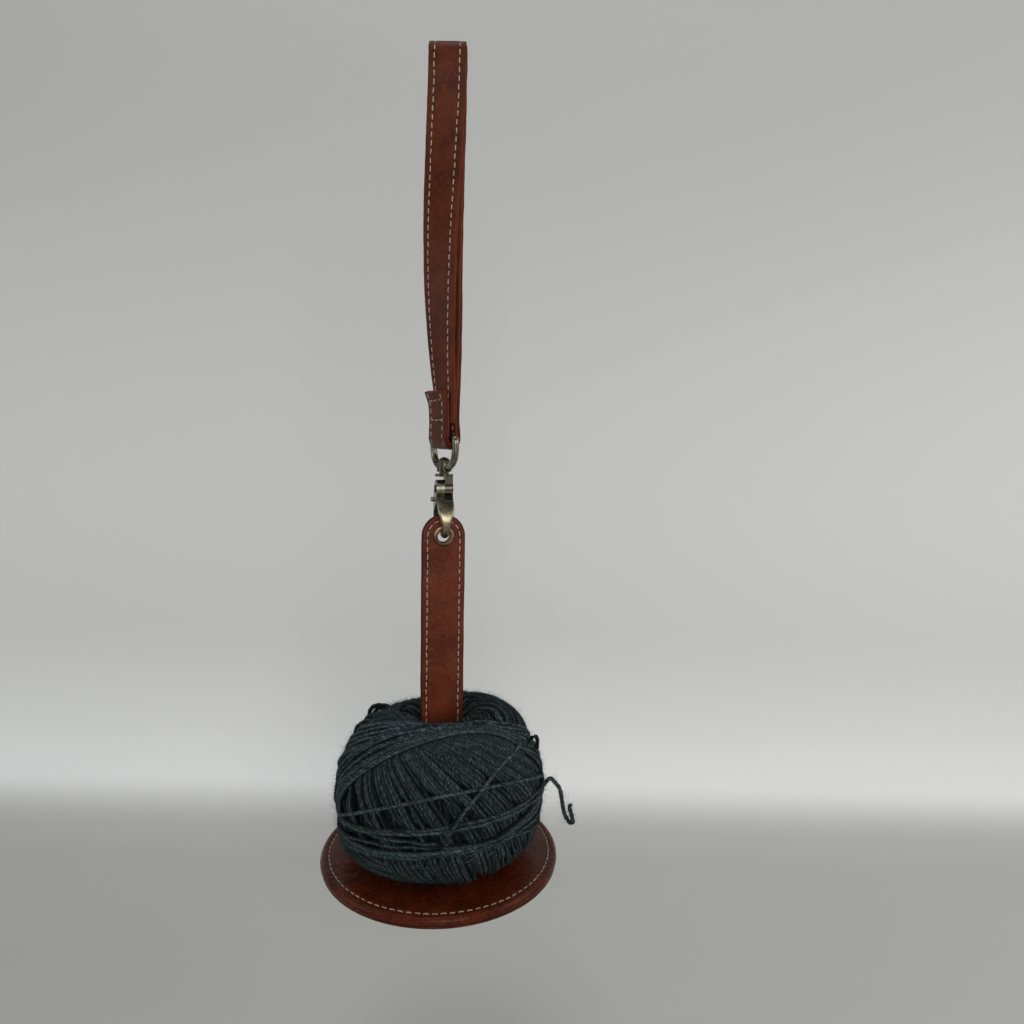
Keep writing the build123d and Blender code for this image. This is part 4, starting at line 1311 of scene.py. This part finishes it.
def fuzz_piece(name, count, seed):
    """Fine stray fibres that stand off the outer strands and the tail."""
    draw = np.random.RandomState(seed)
    picks = yarn_tops[draw.choice(len(yarn_tops), count)]
    tail_roots = tail_line[draw.choice(len(tail_line), TAIL_FIBRES)]
    roots = np.vstack([picks[:, :3], tail_roots])
    out = np.vstack([picks[:, 3:], unit(draw.normal(size=(TAIL_FIBRES, 3)))])
    total = len(roots)
    aim = unit(out * 0.55 + unit(draw.normal(size=(total, 3))))
    aim = unit(np.where((aim * out).sum(1)[:, None] < 0.05, aim + out * 0.8, aim))
    curl = unit(draw.normal(size=(total, 3)))
    length = (draw.gamma(2.4, 0.75, total) + 0.7)[:, None, None]
    base = roots + out * 0.75
    share = np.linspace(0, 1, 3)
    angles = np.arange(3) * 2 * pi / 3
    side = unit(np.cross(aim, curl))
    other = np.cross(aim, side)
    bend = share[None, :, None] * aim[:, None, :] + 0.38 * share[None, :, None] ** 2 * curl[:, None, :]
    centre = base[:, None, :] + length * bend
    centre[..., 2] = np.maximum(centre[..., 2], BASE_TOP + 0.3)
    free = ~in_slot(centre.reshape(-1, 3)).reshape(total, len(share)).any(1)
    centre = centre[free]
    side = side[free]
    other = other[free]
    across = np.cos(angles)[None, :, None] * side[:, None, :]
    ring = across + np.sin(angles)[None, :, None] * other[:, None, :]
    thin = FIBRE_RADIUS * (1 - 0.7 * share)
    points = centre[:, :, None, :] + thin[None, :, None, None] * ring[:, None, :, :]
    one = capped_tube_faces(len(share), len(angles))
    corners = len(share) * len(angles)
    faces = [tuple(corner + i * corners for corner in face) for i in range(len(centre)) for face in one]
    build = Build()
    build.add(points.reshape(-1, 3), faces)
    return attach(build.done(name, FUZZ), "yarn")


fuzz_piece("yarn_fuzz_first", FIBRES, 17)
fuzz_piece("yarn_fuzz_second", FIBRES, 18)

# ------------------------------------------------------------------ stage, light and camera

FLOOR_Z = -150.0
WALL_Y = 335.0
COVE = 90.0
PAINTED_SHADE_GREY = (0.53, 0.53, 0.505)
PAINTED_LIGHT_WHITE = (0.91, 0.915, 0.90)
PALE = (0.74, 0.74, 0.715)
CAMERA_PLACE = (39.0, -436.7, 259.5)
CAMERA_PITCH = -6.65
CAMERA_ROLL = 1.21


def backdrop():
    """A pale floor that curves up into a wall behind the object, with light and shade painted into its colour: the
    grey floor and upper wall are painted shade, and the bright cove is painted light.
    """
    profile = [(-1500, FLOOR_Z), (WALL_Y - COVE, FLOOR_Z)]
    cove = [(COVE * sin(a), COVE * (1 - cos(a))) for a in np.linspace(0, pi / 2, 24)[1:]]
    profile += [(WALL_Y - COVE + y, FLOOR_Z + z) for y, z in cove]
    profile += [(WALL_Y, 1600)]
    build = Build()
    points = [(x, y, z) for y, z in profile for x in (-2200, 2200)]
    build.add(points, grid_faces(len(profile), 2))
    n = Nodes("backdrop")
    up = n.height()
    # painted light and shade by height: grey floor, a bright band in the cove, a pale wall, grey again higher up
    colour = n.mix(n.fit(up, (FLOOR_Z + 6) * MM, (FLOOR_Z + 42) * MM), PAINTED_SHADE_GREY, PAINTED_LIGHT_WHITE)
    colour = n.mix(n.fit(up, (FLOOR_Z + 60) * MM, (FLOOR_Z + 210) * MM), colour, PALE)
    colour = n.mix(n.fit(up, 120 * MM, 620 * MM), colour, PAINTED_SHADE_GREY)
    material = n.finish(colour, 0.9, n.bump(n.noise(30, 3), 0.3))
    see_through(n)
    build.done("backdrop", material)


def see_through(n):
    """Lets the back of a surface be looked through, so that the object can be seen from behind it."""
    clear = n.make("ShaderNodeBsdfTransparent")
    choose = n.make("ShaderNodeMixShader")
    n.link(n.make("ShaderNodeNewGeometry").outputs["Backfacing"], choose.inputs[0])
    n.link(n.shader.outputs[0], choose.inputs[1])
    n.link(clear.outputs[0], choose.inputs[2])
    n.link(choose.outputs[0], n.tree.nodes["Material Output"].inputs[0])


def area_light(name, place, target, size, power, colour):
    light = bpy.data.lights.new(name, "AREA")
    light.shape = "DISK"
    light.size = size * MM
    light.energy = power
    light.color = colour
    thing = bpy.data.objects.new(name, light)
    thing.location = Vector(place) * MM
    thing.rotation_euler = (Vector(target) * MM - thing.location).to_track_quat("-Z", "Y").to_euler()
    bpy.context.scene.collection.objects.link(thing)


def camera():
    """The viewing point: in front, a little right of the post, above the ball, looking slightly down."""
    data = bpy.data.cameras.new("camera")
    data.sensor_width = 36.0
    data.lens = 27.07
    data.clip_start = 0.01
    data.clip_end = 20
    thing = bpy.data.objects.new("camera", data)
    pitch = radians(CAMERA_PITCH)
    roll = radians(CAMERA_ROLL)
    look = Vector((0, cos(pitch), sin(pitch)))
    level = Vector((1, 0, 0))
    upright = level.cross(look)
    right = cos(roll) * level + sin(roll) * upright
    up = cos(roll) * upright - sin(roll) * level
    turn = Matrix((right, up, -look)).transposed().to_4x4()
    thing.matrix_world = Matrix.Translation(Vector(CAMERA_PLACE) * MM) @ turn
    bpy.context.scene.collection.objects.link(thing)
    bpy.context.scene.camera = thing


def surroundings():
    """Dim light from all round, stronger near the horizon than above."""
    world = bpy.data.worlds.new("world")
    world.use_nodes = True
    tree = world.node_tree
    background = tree.nodes["Background"]
    sky = tree.nodes.new("ShaderNodeTexCoord").outputs["Generated"]
    split = tree.nodes.new("ShaderNodeSeparateXYZ")
    ramp = tree.nodes.new("ShaderNodeMapRange")
    tree.links.new(sky, split.inputs[0])
    tree.links.new(split.outputs[2], ramp.inputs["Value"])
    for socket_name, number in (("From Min", 0.0), ("From Max", 0.8), ("To Min", 0.42), ("To Max", 0.16)):
        ramp.inputs[socket_name].default_value = number
    background.inputs[0].default_value = (0.92, 0.95, 1.0, 1)
    tree.links.new(ramp.outputs[0], background.inputs[1])
    bpy.context.scene.world = world


backdrop()
area_light("key", (260, -1250, 560), (0, 0, 180), 800, 6.0, (1.0, 0.98, 0.95))
area_light("right", (950, -260, 480), (0, 0, 150), 600, 2.6, (1.0, 0.99, 0.97))
area_light("left", (-900, -350, 360), (0, 0, 200), 600, 1.4, (0.97, 0.99, 1.0))
area_light("top", (-150, -150, 1250), (0, 0, 100), 700, 2.2, (0.95, 0.98, 1.0))
camera()
surroundings()
bpy.context.scene.view_settings.view_transform = "Standard"
